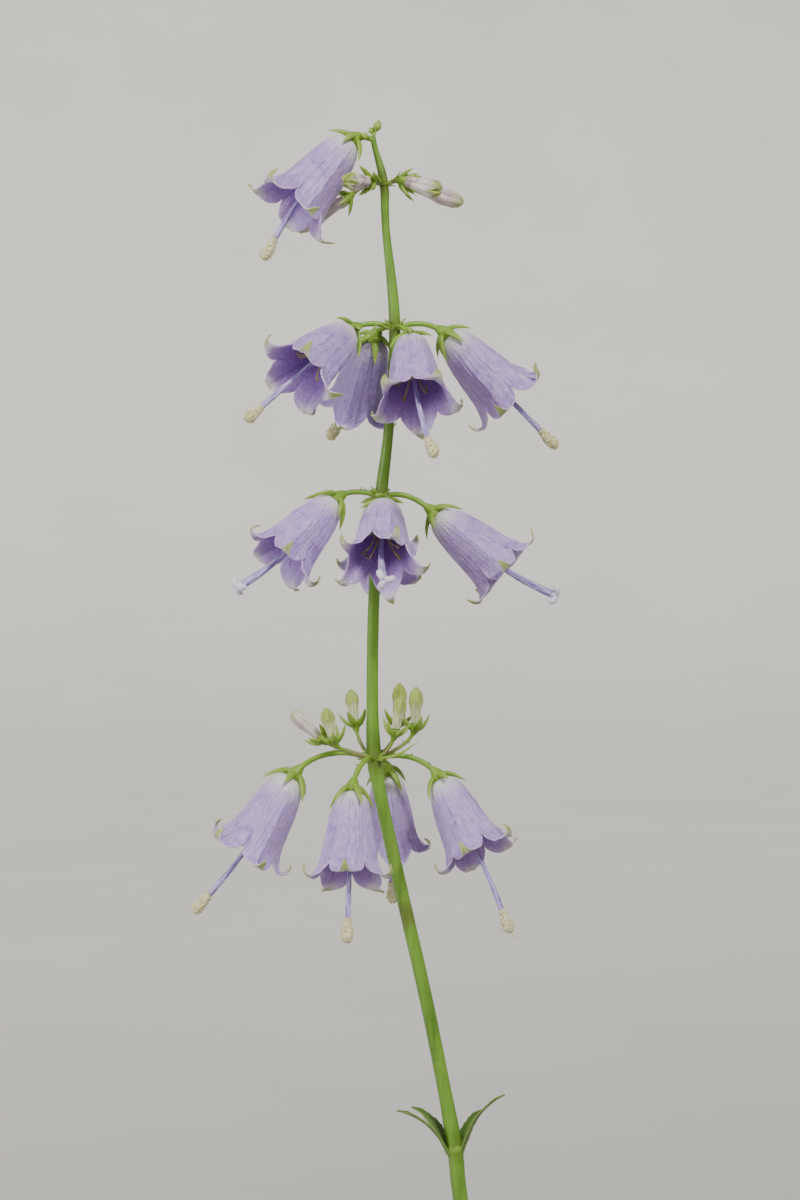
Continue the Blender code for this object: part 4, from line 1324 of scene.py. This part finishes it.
def build_calyx(name, node, offset, face, lean, shape, drawn, skin):
    """The stalk of one flower or bud with its calyx and five sepals."""
    thin, calyx_length, calyx_radius, _, sepal_width, _ = shape
    line = stalk_line(node, place_of(node, offset), direction(face, lean), 34)
    flower = shape is FLOWER_CALYX
    sepal_width *= 1.32 if flower else 1.65
    radii = calyx_radii(line, thin, calyx_length, calyx_radius * (1.10 if flower else 1.14))
    radii[-2:] = [radii[-2] * 0.98, radii[-1] * 0.86]
    pick = random.Random(name)
    wide_share = [(radius - thin) / (calyx_radius - thin) for radius in radii]

    def swell(angle, share):
        ribs = wide_share[round(share * 34)]
        return 1 + 0.055 * ribs * math.cos(10 * angle) + 0.03 * math.sin(2 * angle + 20 * share)

    def marks(u, share):
        dry = 0.0 if flower else 0.75 * (1 - step_between(0.30, 0.80, share))
        return {"yellow": 0.25 * share, "dry": dry}

    parts = [tube(f"stalk_{name}", line, radii, 40, swell=swell, marks=marks)]
    frame_here = hanging_frame(node, offset, face, lean)
    for number, (angle, rise, length) in enumerate(drawn):
        forward = rise * 1.1
        reach = length * (0.82 if flower else 0.74)
        route = [
            Vector((calyx_radius * 0.50, 0.0, -1.3 * MM)),
            Vector((calyx_radius * 1.04 + reach * 0.10, 0.0, -0.60 * MM)),
            Vector((calyx_radius + reach * 0.56, 0.0, -0.25 * MM + forward * 0.34)),
            Vector((calyx_radius + reach, 0.0, forward)),
        ]
        twist = pick.uniform(-0.6, 0.6)
        side = Vector((0.0, math.cos(twist), math.sin(twist)))
        rib = smooth_points(route, 16)
        thick = sizes().sepal_thickness
        blade = scale_leaf(f"sepal_{name}_{number}", rib, sepal_width, thick, side)
        parts.append(moved(blade, frame_here @ Matrix.Rotation(angle, 4, "Z")))
    for number in range(pick.choice((1, 2, 2))):
        share = pick.uniform(0.35, 0.72)
        turn = pick.uniform(0, math.tau)
        parts.append(stalk_knob(f"knob_{name}_{number}", line, thin, share, turn))
    piece = joined(name, parts)
    paint(piece, skin)
    keep(piece, "stem")


def build_calyces():
    skin = calyx_finish()
    drawn, _ = drawn_shapes()
    for name, *stand in FLOWERS:
        build_calyx(f"calyx_{name}", *stand[:4], FLOWER_CALYX, drawn[f"flower_{name}"], skin)
    for name, *stand in BUDS:
        build_calyx(f"bud_calyx_{name}", *stand[:4], BUD_CALYX, drawn[f"bud_{name}"], skin)


# The bells


def lobe_edge(side, roundness, start):
    """How far down the bell's line its edge lies: side is 0 at a lobe's tip and 1 between lobes.

    The tip ends in a narrow beak, which reaches a little past the line's end.
    """
    shoulder = 0.86 * max(0.0, 1 - side**roundness) ** (0.62 + 0.13 * (2.2 - roundness))
    beak = (0.14 + BEAK) * math.exp(-((side / 0.11) ** 1.6))
    return start + (1 - start) * shoulder + (1 - LOBE_START) * beak


def curled_line(curl, steps):
    """The bell's line as radius and depth, its end curled further back by an angle.

    It runs on for a twelfth past its end, for the beaks of the lobes.
    """
    points = smooth_points([(radius, depth, 0.0) for radius, depth in BELL_LINE], steps)
    moves = [b - a for a, b in zip(points, points[1:])]
    moves += [moves[-1]] * (steps // 12)
    line = [points[0]]
    for index, move in enumerate(moves):
        share = (index + 0.5) / steps
        turn = curl * max(0.0, (share - 0.84) / 0.16) ** 1.3
        cosine, sine = math.cos(turn), math.sin(turn)
        turned_move = (move.x * cosine + move.y * sine, move.y * cosine - move.x * sine, 0.0)
        line.append(line[-1] + Vector(turned_move))
    return line


def read_line(line, steps, share):
    """The place at a share of the way along a line that has a point for each step."""
    spot = min(len(line) - 1.001, max(0.0, share * steps))
    index = int(spot)
    return line[index].lerp(line[index + 1], spot - index)


def lobe_side(spot):
    """The signed place across a lobe, -1 to 1, for an even place across it, 0 to 1.

    Columns stand closer together at the lobe's midrib and between the lobes.
    """
    even = 2 * spot - 1
    size = abs(even)
    return math.copysign(0.5 * size * size * (3 - 2 * size) + 0.5 * size**1.3, even)


def bell_sheet(name, size, width, roll):
    """A bell as a sheet without thickness, in its own frame."""
    columns, fine = BELL_COLUMNS, BELL_LINE_STEPS
    pick = random.Random(f"bell {name}")
    curls = [pick.uniform(sizes().least_curl, sizes().most_curl) for _ in range(LOBES)]
    if name in LOBE_CURLS:
        curls = [math.radians(degrees) for degrees in LOBE_CURLS[name]]
    tilts = [pick.uniform(-0.5, 0.5) for _ in range(LOBES)]
    phase = pick.uniform(0, 100)
    roundness = POINTED_LOBES.get(name, pick.uniform(1.7, 2.3))
    # Painted shade for the bells in the shade of the others; a little random deepening for the
    # rest.
    painted_shade_and_tone = PAINTED_SHADE_BELLS.get(name, pick.uniform(0.0, 0.12))
    start = DEEP_LOBES.get(name, LOBE_START)
    lines = []
    for column in range(columns):
        spot = column * LOBES / columns
        side = abs(lobe_side(spot % 1.0))
        lines.append(curled_line(curls[int(spot)] * (1 - side**1.5), fine))

    def across_of(u):
        """The lobe that a column is in, and its signed place across it."""
        spot = (round(u * columns) % columns) * LOBES / columns
        return int(spot), lobe_side(spot % 1.0)

    def along_of(u, v):
        return lobe_edge(abs(across_of(u)[1]), roundness, start) * (1 - (1 - v) ** 1.18)

    def place(u, v):
        lobe, signed = across_of(u)
        side = abs(signed)
        along = along_of(u, v)
        line = lines[round(u * columns) % columns]
        here = read_line(line, fine, along)
        step = read_line(line, fine, along + 0.012) - read_line(line, fine, along - 0.012)
        step.normalize()
        near = step_between(0.62, 1.0, v)
        angle = math.radians(roll) + (lobe + 0.5 * signed) * math.tau / LOBES
        around = Vector((math.cos(angle), math.sin(angle), 0.0))
        spot_3d = Vector((around.x * here.x, around.y * here.x, here.y)) / MM
        crinkle = noise.fractal(spot_3d * 0.55 + Vector((phase, 0, 0)), 1.0, 2.0, 3)
        fold = noise.noise(Vector(((lobe + signed) * 7.5, along * 2.2, phase)))
        lift = sizes().petal_crinkle * (crinkle * 0.7 + fold) * step_between(0.02, 0.25, v)
        lift += sizes().petal_ruffle * near**2 * math.sin(6.5 * signed + phase + lobe * 1.7) * side
        lift += 0.60 * MM * near**3 * side**2 * (1 + 0.5 * tilts[lobe] * signed)
        beak = step_between(0.93, 1.02, along) * min(1.0, side / 0.12) ** 2
        lift -= 0.45 * MM * beak
        corner = 1 / math.cos(math.pi / LOBES * (1 - side)) - 1
        keel = 1 + step_between(0.0, 0.5, v) * (0.50 * corner - 0.042)
        reach = (here.x + step.y * lift) * keel * width * size
        depth = (here.y - step.x * lift + 0.25 * MM * tilts[lobe] * near * signed) * size
        return Vector((around.x * reach, around.y * reach, depth))

    def marks(u, v):
        lobe, signed = across_of(u)
        side = abs(signed)
        along = along_of(u, v)
        aside = side * math.pi * 9 * MM / LOBES
        from_tip = math.hypot(aside * 1.15, (1.07 - along) * BELL_LENGTH)
        from_edge = (lobe_edge(side, roundness, start) - along) * BELL_LENGTH
        return {
            "around": (lobe + 0.5 + 0.5 * signed) / LOBES,
            "across": side,
            "along": along,
            "tip": max(0.0, 1 - from_tip / TIP_REACH),
            "rim": max(0.0, 1 - from_edge / RIM_REACH),
            "painted_shade_and_tone": painted_shade_and_tone,
        }

    return wrapped_grid(f"bell_{name}", columns, BELL_ROWS, place, marks)


def build_bells():
    outside = petal_finish("petal_outside", False)
    inside = petal_finish("petal_inside", True)
    for name, node, offset, face, lean, roll, size, width, *_ in FLOWERS:
        bell = bell_sheet(name, size, width, roll)
        moved(bell, hanging_frame(node, offset, face, lean))
        paint(bell, outside, inside)
        give_wall(bell, sizes().petal_thickness)
        keep(bell, "petal", f"corolla_{name}")


# What stands inside a bell and hangs out of it


def style_line(length, sweep, way, steps):
    """The style's line in the flower's frame: straight out, then swept aside."""
    bend_start = 0.35
    aside = Vector((math.cos(math.radians(way)), math.sin(math.radians(way)), 0.0))
    line = []
    for step in range(steps + 1):
        share = step / steps
        past = max(0.0, share - bend_start) / (1 - bend_start)
        reach = length * (1 - bend_start) * math.tan(math.radians(sweep)) * past * past
        line.append(aside * reach + UP * (GAP + length * share))
    return line


def end_frame(line):
    """The frame at the end of a line, with +Z the way the line points."""
    out = (line[-1] - line[-2]).normalized()
    across = out.cross(Vector((1.0, 0.0, 0.0))).normalized()
    turn = Matrix((across.cross(out), across, out)).transposed().to_4x4()
    return Matrix.Translation(line[-1]) @ turn


def flower_style(record):
    """The style's line for one flower, and the end that it carries."""
    length, sweep, way, end = record[8:]
    tip = POLLEN_LENGTH if end == "pollen" else 1.2 * MM
    return style_line(length * MM - tip, sweep, way, 48), end


def style_hairs(name, line, end_radius):
    """Short hairs that stand off the style's outer half."""
    pick = random.Random(f"hairs {name}")
    carried = carried_sides(line)
    places = []
    for _ in range(sizes().hairs):
        share = 0.38 + 0.60 * pick.random() ** 0.8
        index = int(share * (len(line) - 1))
        along, side = carried[index]
        out = Matrix.Rotation(pick.uniform(0, math.tau), 3, along) @ side
        radius = STYLE_RADIUS + (end_radius - STYLE_RADIUS) * step_between(0.3, 1.0, share)
        lean = (out + along * pick.uniform(-0.5, 0.7)).normalized()
        turn = UP.rotation_difference(lean).to_matrix().to_4x4()
        tall = sizes().hair_length * pick.uniform(0.6, 1.3)
        following = line[min(index + 1, len(line) - 1)]
        spot = line[index].lerp(following, pick.random()) + out * radius * 0.9
        size = Matrix.Diagonal((HAIR_WIDTH, HAIR_WIDTH, tall, 1.0))
        places.append(Matrix.Translation(spot) @ turn @ size)
    return places


def build_styles():
    """The lilac styles with their hairs."""
    skin = style_finish()
    hair_skin = thread_finish("style_hair", colours().stigma, colours().style_pale)
    model = spike_model()
    for record in FLOWERS:
        name, node, offset, face, lean = record[:5]
        line, end = flower_style(record)
        end_radius = STYLE_END_RADIUS if end == "pollen" else STIGMA_STYLE_END_RADIUS
        first_radius = STYLE_RADIUS * 0.9
        radii = []
        for step in range(len(line)):
            widening = step_between(0.25, 1.0, step / (len(line) - 1))
            radii.append(first_radius + (end_radius - first_radius) * widening)
        swell = ribbed(3, 0.05)
        style = tube(f"style_rod_{name}", line, radii, 16, swell=swell, marks=around_mark)
        paint(style, skin)
        hairs = scattered(f"hairs_{name}", model, style_hairs(name, line, end_radius))
        paint(hairs, hair_skin)
        piece = joined(f"style_rod_{name}", [style, hairs])
        moved(piece, hanging_frame(node, offset, face, lean))
        keep(piece, "style", f"style_{name}")
    discard(model)


def spent_stamen(name, number, pick):
    """A straw-coloured filament with its withered anther, curled towards the bell's mouth."""
    turn = math.tau * (number + 0.25) / STAMENS
    lean = pick.uniform(-1.0, 1.0)
    spread = pick.uniform(1.6, 3.0)
    reach = pick.uniform(0.92, 1.1) * STAMEN_LENGTH
    route = [
        Vector((0.5 * MM, 0.0, GAP + DISC_HEIGHT * 0.5)),
        Vector((1.1 * MM, 0.0, DISC_HEIGHT + reach * 0.22)),
        Vector((1.2 * MM, lean * 0.3 * MM, DISC_HEIGHT + reach * 0.52)),
        Vector((spread * 0.8 * MM, lean * MM, DISC_HEIGHT + reach * 0.84)),
        Vector((spread * 1.3 * MM, 1.6 * lean * MM, DISC_HEIGHT + reach)),
    ]
    line = smooth_points(route, 26)
    radii = [0.30 * MM * (1 - step / 26) ** 2 + 0.15 * MM for step in range(27)]
    thread = tube(f"filament_{name}_{number}", line, radii, 8, marks=around_mark)
    start = line[-1]
    hook = pick.uniform(-0.4, 1.0)
    anther_route = [
        start,
        start + Vector((0.5 * MM, 0.3 * lean * MM, 0.7 * MM * hook)),
        start + Vector((0.7 * MM, 0.7 * lean * MM, 1.7 * MM * hook - 0.5 * MM)),
        start + Vector((0.2 * MM, lean * MM, 2.5 * MM * hook - 1.2 * MM)),
    ]
    anther_line = smooth_points(anther_route, 22)
    wide = [0.27 * MM * math.sin(math.pi * (0.08 + 0.90 * step / 22)) ** 0.6 for step in range(23)]
    anther = tube(
        f"anther_{name}_{number}",
        anther_line,
        wide,
        10,
        side=Vector((0.3, 1.0, 0.0)),
        flat=0.5,
        swell=lambda angle, share: 1 + 0.18 * math.sin(22 * share + 2 * angle),
        marks=around_mark,
    )
    return [moved(part, Matrix.Rotation(turn, 4, "Z")) for part in (thread, anther)]


def build_stamens():
    """The disc at the foot of each style, with the five spent stamens round it."""
    thread_skin = thread_finish("filament_straw", colours().stamen, colours().disc)
    anther_skin = thread_finish("anther_brown", colours().anther, colours().stamen)
    yellows = (colours().disc, colours().calyx)
    disc_skin = grainy_finish("disc_yellow", *yellows, 2400.0, 0.03 * MM, 0.5)
    for name, node, offset, face, lean, *_ in FLOWERS:
        pick = random.Random(f"stamens {name}")
        line = [Vector((0.0, 0.0, GAP * 0.3 + DISC_HEIGHT * step / 12)) for step in range(13)]
        radii = [DISC_RADIUS * (1 - 0.10 * step / 12) for step in range(13)]
        radii[-1] = DISC_RADIUS * 0.72
        disc = tube(f"disc_{name}", line, radii, 30, swell=ribbed(5, 0.06), marks=around_mark)
        paint(disc, disc_skin)
        parts = [disc]
        for number in range(STAMENS):
            thread, anther = spent_stamen(name, number, pick)
            parts += [paint(thread, thread_skin), paint(anther, anther_skin)]
        piece = joined(f"stamens_{name}", parts)
        moved(piece, hanging_frame(node, offset, face, lean))
        keep(piece, "style")


def squashed(spot, *size):
    """The matrix of a grain of that size at a spot."""
    return Matrix.Translation(spot) @ Matrix.Diagonal((*size, 1.0))


def build_pollen():
    """The grainy clubs of pollen on the young styles."""
    pollen_and_painted_shade = (colours().pollen, colours().pollen_painted_shade)
    skin = grainy_finish("pollen_grain", *pollen_and_painted_shade, 2300.0, 0.10 * MM, 0.88)
    model = grain_model()
    for record in FLOWERS:
        name, node, offset, face, lean = record[:5]
        line, end = flower_style(record)
        if end != "pollen":
            continue
        pick = random.Random(f"pollen {name}")
        steps = 26
        core = []
        radii = []
        for step in range(steps + 1):
            share = step / steps
            core.append(UP * (GAP * 0.2 + (POLLEN_LENGTH + GAP * 0.8) * step / steps))
            body = 0.58 + 0.42 * step_between(0.0, 0.62, share)
            body -= 0.06 * step_between(0.75, 1.0, share)
            radii.append(POLLEN_RADIUS * body * 0.90)
        radii = rounded(radii, 1.5 * MM, POLLEN_LENGTH / steps)
        phase = pick.uniform(0, 50)

        def swell(angle, share):
            spot = Vector((math.cos(angle) * 1.4, math.sin(angle) * 1.4, share * 6 + phase))
            return 1 + 0.20 * noise.fractal(spot * 1.3, 1.0, 2.0, 3)

        club = tube(f"club_{name}", core, radii, 30, swell=swell, marks=around_mark)
        places = []
        for _ in range(sizes().grains):
            share = pick.random()
            index = int(share * steps)
            angle = pick.uniform(0, math.tau)
            radius = radii[index] * swell(angle, index / steps)
            spot = Vector((math.cos(angle) * radius, math.sin(angle) * radius, core[index].z))
            size = sizes().grain_radius * pick.uniform(0.6, 1.35)
            places.append(squashed(spot, size, size * pick.uniform(0.7, 1.2), size))
        if name == TRAILING_POLLEN:
            for step in range(9):
                spot = Vector((0.35 * MM, -0.2 * MM, POLLEN_LENGTH + (0.1 + 0.16 * step) * MM))
                size = (0.30 - 0.015 * step) * MM
                places.append(squashed(spot, size, size, size * 1.1))
        grains = scattered(f"grains_{name}", model, places)
        piece = joined(f"club_{name}", [club, grains])
        paint(piece, skin)
        moved(piece, hanging_frame(node, offset, face, lean) @ end_frame(line))
        keep(piece, "pollen", f"pollen_{name}")
    discard(model)


def build_stigmas():
    """The open stigmas of the older flowers: three blunt lobes that curl back."""
    whites = (colours().stigma, colours().style_pale)
    skin = grainy_finish("stigma_velvet", *whites, 5200.0, 0.03 * MM, 0.62)
    for record in FLOWERS:
        name, node, offset, face, lean = record[:5]
        line, end = flower_style(record)
        if end != "stigma":
            continue
        pick = random.Random(f"stigma {name}")
        core = [Vector((0.0, 0.0, (-0.2 + 0.12 * step) * MM)) for step in range(12)]
        parts = [tube(f"core_{name}", core, rounded([0.82 * MM] * 12, 0.7 * MM, 0.12 * MM), 24)]
        for number in range(STIGMA_LOBES):
            reach = STIGMA_LENGTH * pick.uniform(0.86, 1.0)
            route = [
                Vector((0.1 * MM, 0.0, 0.55 * MM)),
                Vector((reach * 0.36, 0.0, reach * 0.44)),
                Vector((reach * 0.68, 0.0, reach * 0.34)),
                Vector((reach * 0.88, 0.0, reach * 0.06)),
                Vector((reach * 0.86, 0.0, -reach * 0.14)),
            ]
            lobe_line = smooth_points(route, 24)
            radii = []
            for step in range(25):
                radii.append(STIGMA_RADIUS * (0.84 + 0.26 * math.sin(math.pi * step / 24)))
            radii = rounded(radii, 0.7 * MM, 0.13 * MM)
            side = Vector((0.0, 1.0, 0.0))
            lobe = tube(f"lobe_{name}_{number}", lobe_line, radii, 18, side=side, flat=0.86)
            turn = math.tau * number / STIGMA_LOBES + 0.5
            parts.append(moved(lobe, Matrix.Rotation(turn, 4, "Z")))
        piece = joined(f"stigma_lobes_{name}", parts)
        paint(piece, skin)
        moved(piece, hanging_frame(node, offset, face, lean) @ end_frame(line))
        keep(piece, "stigma", f"stigma_{name}")


# The buds


def bud_radius(share, kind):
    """A bud's relative radius from its calyx, 0, to its tip, 1."""
    points = [(0.0, 0.62), (0.15, 0.70), (0.30, 0.77), (0.62, 1.0), *BUD_ENDS[kind]]
    for (low, start), (high, end) in zip(points, points[1:]):
        if share <= high:
            t = (share - low) / (high - low)
            return start + (end - start) * (t * t * (3 - 2 * t) * 0.5 + t * 0.5)
    return points[-1][1]


def spread_tips(bud, length):
    """Pulls a bud's end out into five short green points."""
    for vertex in bud.data.vertices:
        share = vertex.co.z / length
        near = step_between(0.80, 1.0, share)
        petal = abs(math.cos(2.5 * math.atan2(vertex.co.y, vertex.co.x)))
        far = step_between(0.1, 0.6, math.hypot(vertex.co.x, vertex.co.y) / MM)
        vertex.co.z += near * far * (petal - 0.60) * 1.5 * MM
        vertex.co.z -= near * (1 - far) * 0.7 * MM


def build_buds():
    """The closed buds, each with five petal backs that meet in sunk seams."""
    skins = {kind: bud_finish(kind) for kind in BUD_ENDS}
    for name, node, offset, face, lean, length, radius, kind in BUDS:
        steps = 36
        line = []
        radii = []
        for step in range(steps + 1):
            line.append(UP * (GAP * 0.3 + (length * MM + GAP * 0.7) * step / steps))
            radii.append(radius * MM * bud_radius(step / steps, kind) * 1.02)

        def swell(angle, share):
            petal = abs(math.cos(2.5 * angle))
            seam = 1 - petal
            tip = step_between(0.72, 1.0, share) if kind == "opening" else 0.0
            keel = 0.10 * petal**6 * step_between(0.25, 0.60, share)
            return 0.85 + 0.12 * petal**0.6 + keel - 0.05 * seam**4 + 0.35 * tip * (petal - 0.6)

        def marks(u, share):
            angle = math.tau * u
            return {"around": u, "across": 1 - abs(math.cos(2.5 * angle))}

        bud = tube(f"closed_bud_{name}", line, radii, 50, swell=swell, marks=marks)
        if kind == "opening":
            spread_tips(bud, length * MM)
        paint(bud, skins[kind])
        moved(bud, hanging_frame(node, offset, face, lean))
        keep(bud, "bud", f"bud_{name}")


# The stage


def build_floor():
    """A pale floor that curves up into a round wall, so that no edge shows from any side."""
    select_only()
    bpy.ops.mesh.primitive_circle_add(vertices=TURN_STEPS, radius=FLOOR_RADIUS, fill_type="NGON")
    floor = bpy.context.active_object
    floor.name = "pale_floor"
    bpy.ops.object.mode_set(mode="EDIT")
    bpy.ops.mesh.select_all(action="SELECT")
    bpy.ops.mesh.select_mode(type="EDGE")
    bpy.ops.mesh.region_to_loop()
    rings = arc((FLOOR_RADIUS, FLOOR_BEND), FLOOR_BEND, -90, 0, 12)[1:]
    rings.append((FLOOR_RADIUS + FLOOR_BEND, FLOOR_BEND + FLOOR_WALL))
    radius, height = FLOOR_RADIUS, 0.0
    for ring_radius, ring_height in rings:
        rise = (0, 0, ring_height - height)
        bpy.ops.mesh.extrude_region_move(TRANSFORM_OT_translate={"value": rise})
        bpy.ops.transform.resize(value=(ring_radius / radius, ring_radius / radius, 1.0))
        radius, height = ring_radius, ring_height
    bpy.ops.mesh.select_all(action="SELECT")
    bpy.ops.mesh.normals_make_consistent(inside=True)
    bpy.ops.mesh.select_mode(type="VERT")
    bpy.ops.object.mode_set(mode="OBJECT")
    bpy.ops.object.shade_smooth_by_angle(angle=math.radians(60))
    paint(floor, floor_finish())


def add_light(name, kind, place, power, colour):
    """A light that points at the plant's middle, from a place in metres."""
    lamp = bpy.data.lights.new(name, kind)
    lamp.energy = power
    lamp.color = colour
    made = bpy.data.objects.new(name, lamp)
    made.location = place
    made.rotation_euler = (PLANT_MIDDLE - Vector(place)).to_track_quat("-Z", "Y").to_euler()
    bpy.context.scene.collection.objects.link(made)
    return lamp


def build_lights():
    """A broad soft sun from the front, a weaker one from behind, a lamp beside and a dim room."""
    key = add_light("key", "SUN", (0.45, -1.1, 1.35), 4.5, (1.0, 0.99, 0.985))
    key.angle = math.radians(12)
    back = add_light("back", "SUN", (-0.5, 1.2, 0.9), 2.3, (0.97, 0.98, 1.0))
    back.angle = math.radians(30)
    side = add_light("side", "AREA", (-0.8, -0.5, 0.5), 5.0, (0.96, 0.97, 1.0))
    side.shape = "DISK"
    side.size = 0.4
    world = bpy.data.worlds.new("soft_room")
    world.use_nodes = True
    sky = world.node_tree.nodes["Background"]
    sky.inputs["Color"].default_value = (0.95, 0.96, 1.0, 1.0)
    sky.inputs["Strength"].default_value = 0.29
    bpy.context.scene.world = world


def build_camera():
    lens = bpy.data.cameras.new("camera")
    lens.lens = CAMERA_LENS
    lens.sensor_width = CAMERA_SENSOR
    lens.sensor_fit = "AUTO"
    lens.clip_start = 0.01
    camera = bpy.data.objects.new("camera", lens)
    rise = math.radians(CAMERA_ELEVATION)
    back = Vector((0.0, -math.cos(rise), math.sin(rise)))
    camera.location = CAMERA_TARGET + back * CAMERA_DISTANCE
    camera.rotation_euler = (-back).to_track_quat("-Z", "Y").to_euler()
    bpy.context.scene.collection.objects.link(camera)
    bpy.context.scene.camera = camera


# Operators, one for each piece or group of like pieces, and their panel


class LADYBELL_OT_stage(bpy.types.Operator):
    """Build the pale floor, the soft studio lights and the camera"""

    bl_idname = "ladybell.stage"
    bl_label = "Stage"

    def execute(self, context):
        build_floor()
        build_lights()
        build_camera()
        return {"FINISHED"}


class LADYBELL_OT_vase(bpy.types.Operator):
    """Turn the clear glass vase"""

    bl_idname = "ladybell.vase"
    bl_label = "Vase"

    def execute(self, context):
        build_vase()
        return {"FINISHED"}


class LADYBELL_OT_water(bpy.types.Operator):
    """Fill the vase with water"""

    bl_idname = "ladybell.water"
    bl_label = "Water"

    def execute(self, context):
        build_water()
        return {"FINISHED"}


class LADYBELL_OT_stem(bpy.types.Operator):
    """Grow the main stem and the tiny buds at its tip"""

    bl_idname = "ladybell.stem"
    bl_label = "Stem"

    def execute(self, context):
        build_stem()
        build_tip()
        return {"FINISHED"}


class LADYBELL_OT_leaves(bpy.types.Operator):
    """Add the four leaves, their collar and the bracts of the whorls"""

    bl_idname = "ladybell.leaves"
    bl_label = "Leaves and Bracts"

    def execute(self, context):
        build_leaves()
        build_bracts()
        return {"FINISHED"}


class LADYBELL_OT_calyces(bpy.types.Operator):
    """Add the stalk, calyx and sepals of each flower and bud"""

    bl_idname = "ladybell.calyces"
    bl_label = "Calyces"

    def execute(self, context):
        build_calyces()
        return {"FINISHED"}


class LADYBELL_OT_bells(bpy.types.Operator):
    """Shape the lilac bells"""

    bl_idname = "ladybell.bells"
    bl_label = "Bells"

    def execute(self, context):
        build_bells()
        return {"FINISHED"}


class LADYBELL_OT_styles(bpy.types.Operator):
    """Add the styles with their hairs"""

    bl_idname = "ladybell.styles"
    bl_label = "Styles"

    def execute(self, context):
        build_styles()
        return {"FINISHED"}


class LADYBELL_OT_stamens(bpy.types.Operator):
    """Add the discs and the spent stamens inside the bells"""

    bl_idname = "ladybell.stamens"
    bl_label = "Stamens"

    def execute(self, context):
        build_stamens()
        return {"FINISHED"}


class LADYBELL_OT_pollen(bpy.types.Operator):
    """Add the clubs of pollen"""

    bl_idname = "ladybell.pollen"
    bl_label = "Pollen"

    def execute(self, context):
        build_pollen()
        return {"FINISHED"}


class LADYBELL_OT_stigmas(bpy.types.Operator):
    """Add the open stigmas"""

    bl_idname = "ladybell.stigmas"
    bl_label = "Stigmas"

    def execute(self, context):
        build_stigmas()
        return {"FINISHED"}


class LADYBELL_OT_buds(bpy.types.Operator):
    """Add the closed buds"""

    bl_idname = "ladybell.buds"
    bl_label = "Buds"

    def execute(self, context):
        build_buds()
        return {"FINISHED"}


OPERATORS = (
    LADYBELL_OT_stage,
    LADYBELL_OT_vase,
    LADYBELL_OT_water,
    LADYBELL_OT_stem,
    LADYBELL_OT_leaves,
    LADYBELL_OT_calyces,
    LADYBELL_OT_bells,
    LADYBELL_OT_styles,
    LADYBELL_OT_stamens,
    LADYBELL_OT_pollen,
    LADYBELL_OT_stigmas,
    LADYBELL_OT_buds,
)


class LADYBELL_PT_panel(bpy.types.Panel):
    """The ladybell's sizes, colours and building steps"""

    bl_label = "Ladybell"
    bl_idname = "LADYBELL_PT_panel"
    bl_space_type = "VIEW_3D"
    bl_region_type = "UI"
    bl_category = "Ladybell"

    def draw(self, context):
        layout = self.layout
        for operator in OPERATORS:
            layout.operator(operator.bl_idname)
        for group in (context.scene.ladybell_sizes, context.scene.ladybell_colours):
            box = layout.box()
            for name in group.__annotations__:
                box.prop(group, name)


CLASSES = (LadybellSizes, LadybellColours, *OPERATORS, LADYBELL_PT_panel)


def register():
    for cls in CLASSES:
        bpy.utils.register_class(cls)
    bpy.types.Scene.ladybell_sizes = bpy.props.PointerProperty(type=LadybellSizes)
    bpy.types.Scene.ladybell_colours = bpy.props.PointerProperty(type=LadybellColours)


def unregister():
    del bpy.types.Scene.ladybell_colours
    del bpy.types.Scene.ladybell_sizes
    for cls in reversed(CLASSES):
        bpy.utils.unregister_class(cls)


def main():
    register()
    bpy.ops.ladybell.stage()
    bpy.ops.ladybell.vase()
    bpy.ops.ladybell.water()
    bpy.ops.ladybell.stem()
    bpy.ops.ladybell.leaves()
    bpy.ops.ladybell.calyces()
    bpy.ops.ladybell.bells()
    bpy.ops.ladybell.styles()
    bpy.ops.ladybell.stamens()
    bpy.ops.ladybell.pollen()
    bpy.ops.ladybell.stigmas()
    bpy.ops.ladybell.buds()
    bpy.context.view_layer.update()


if __name__ == "__main__":
    main()
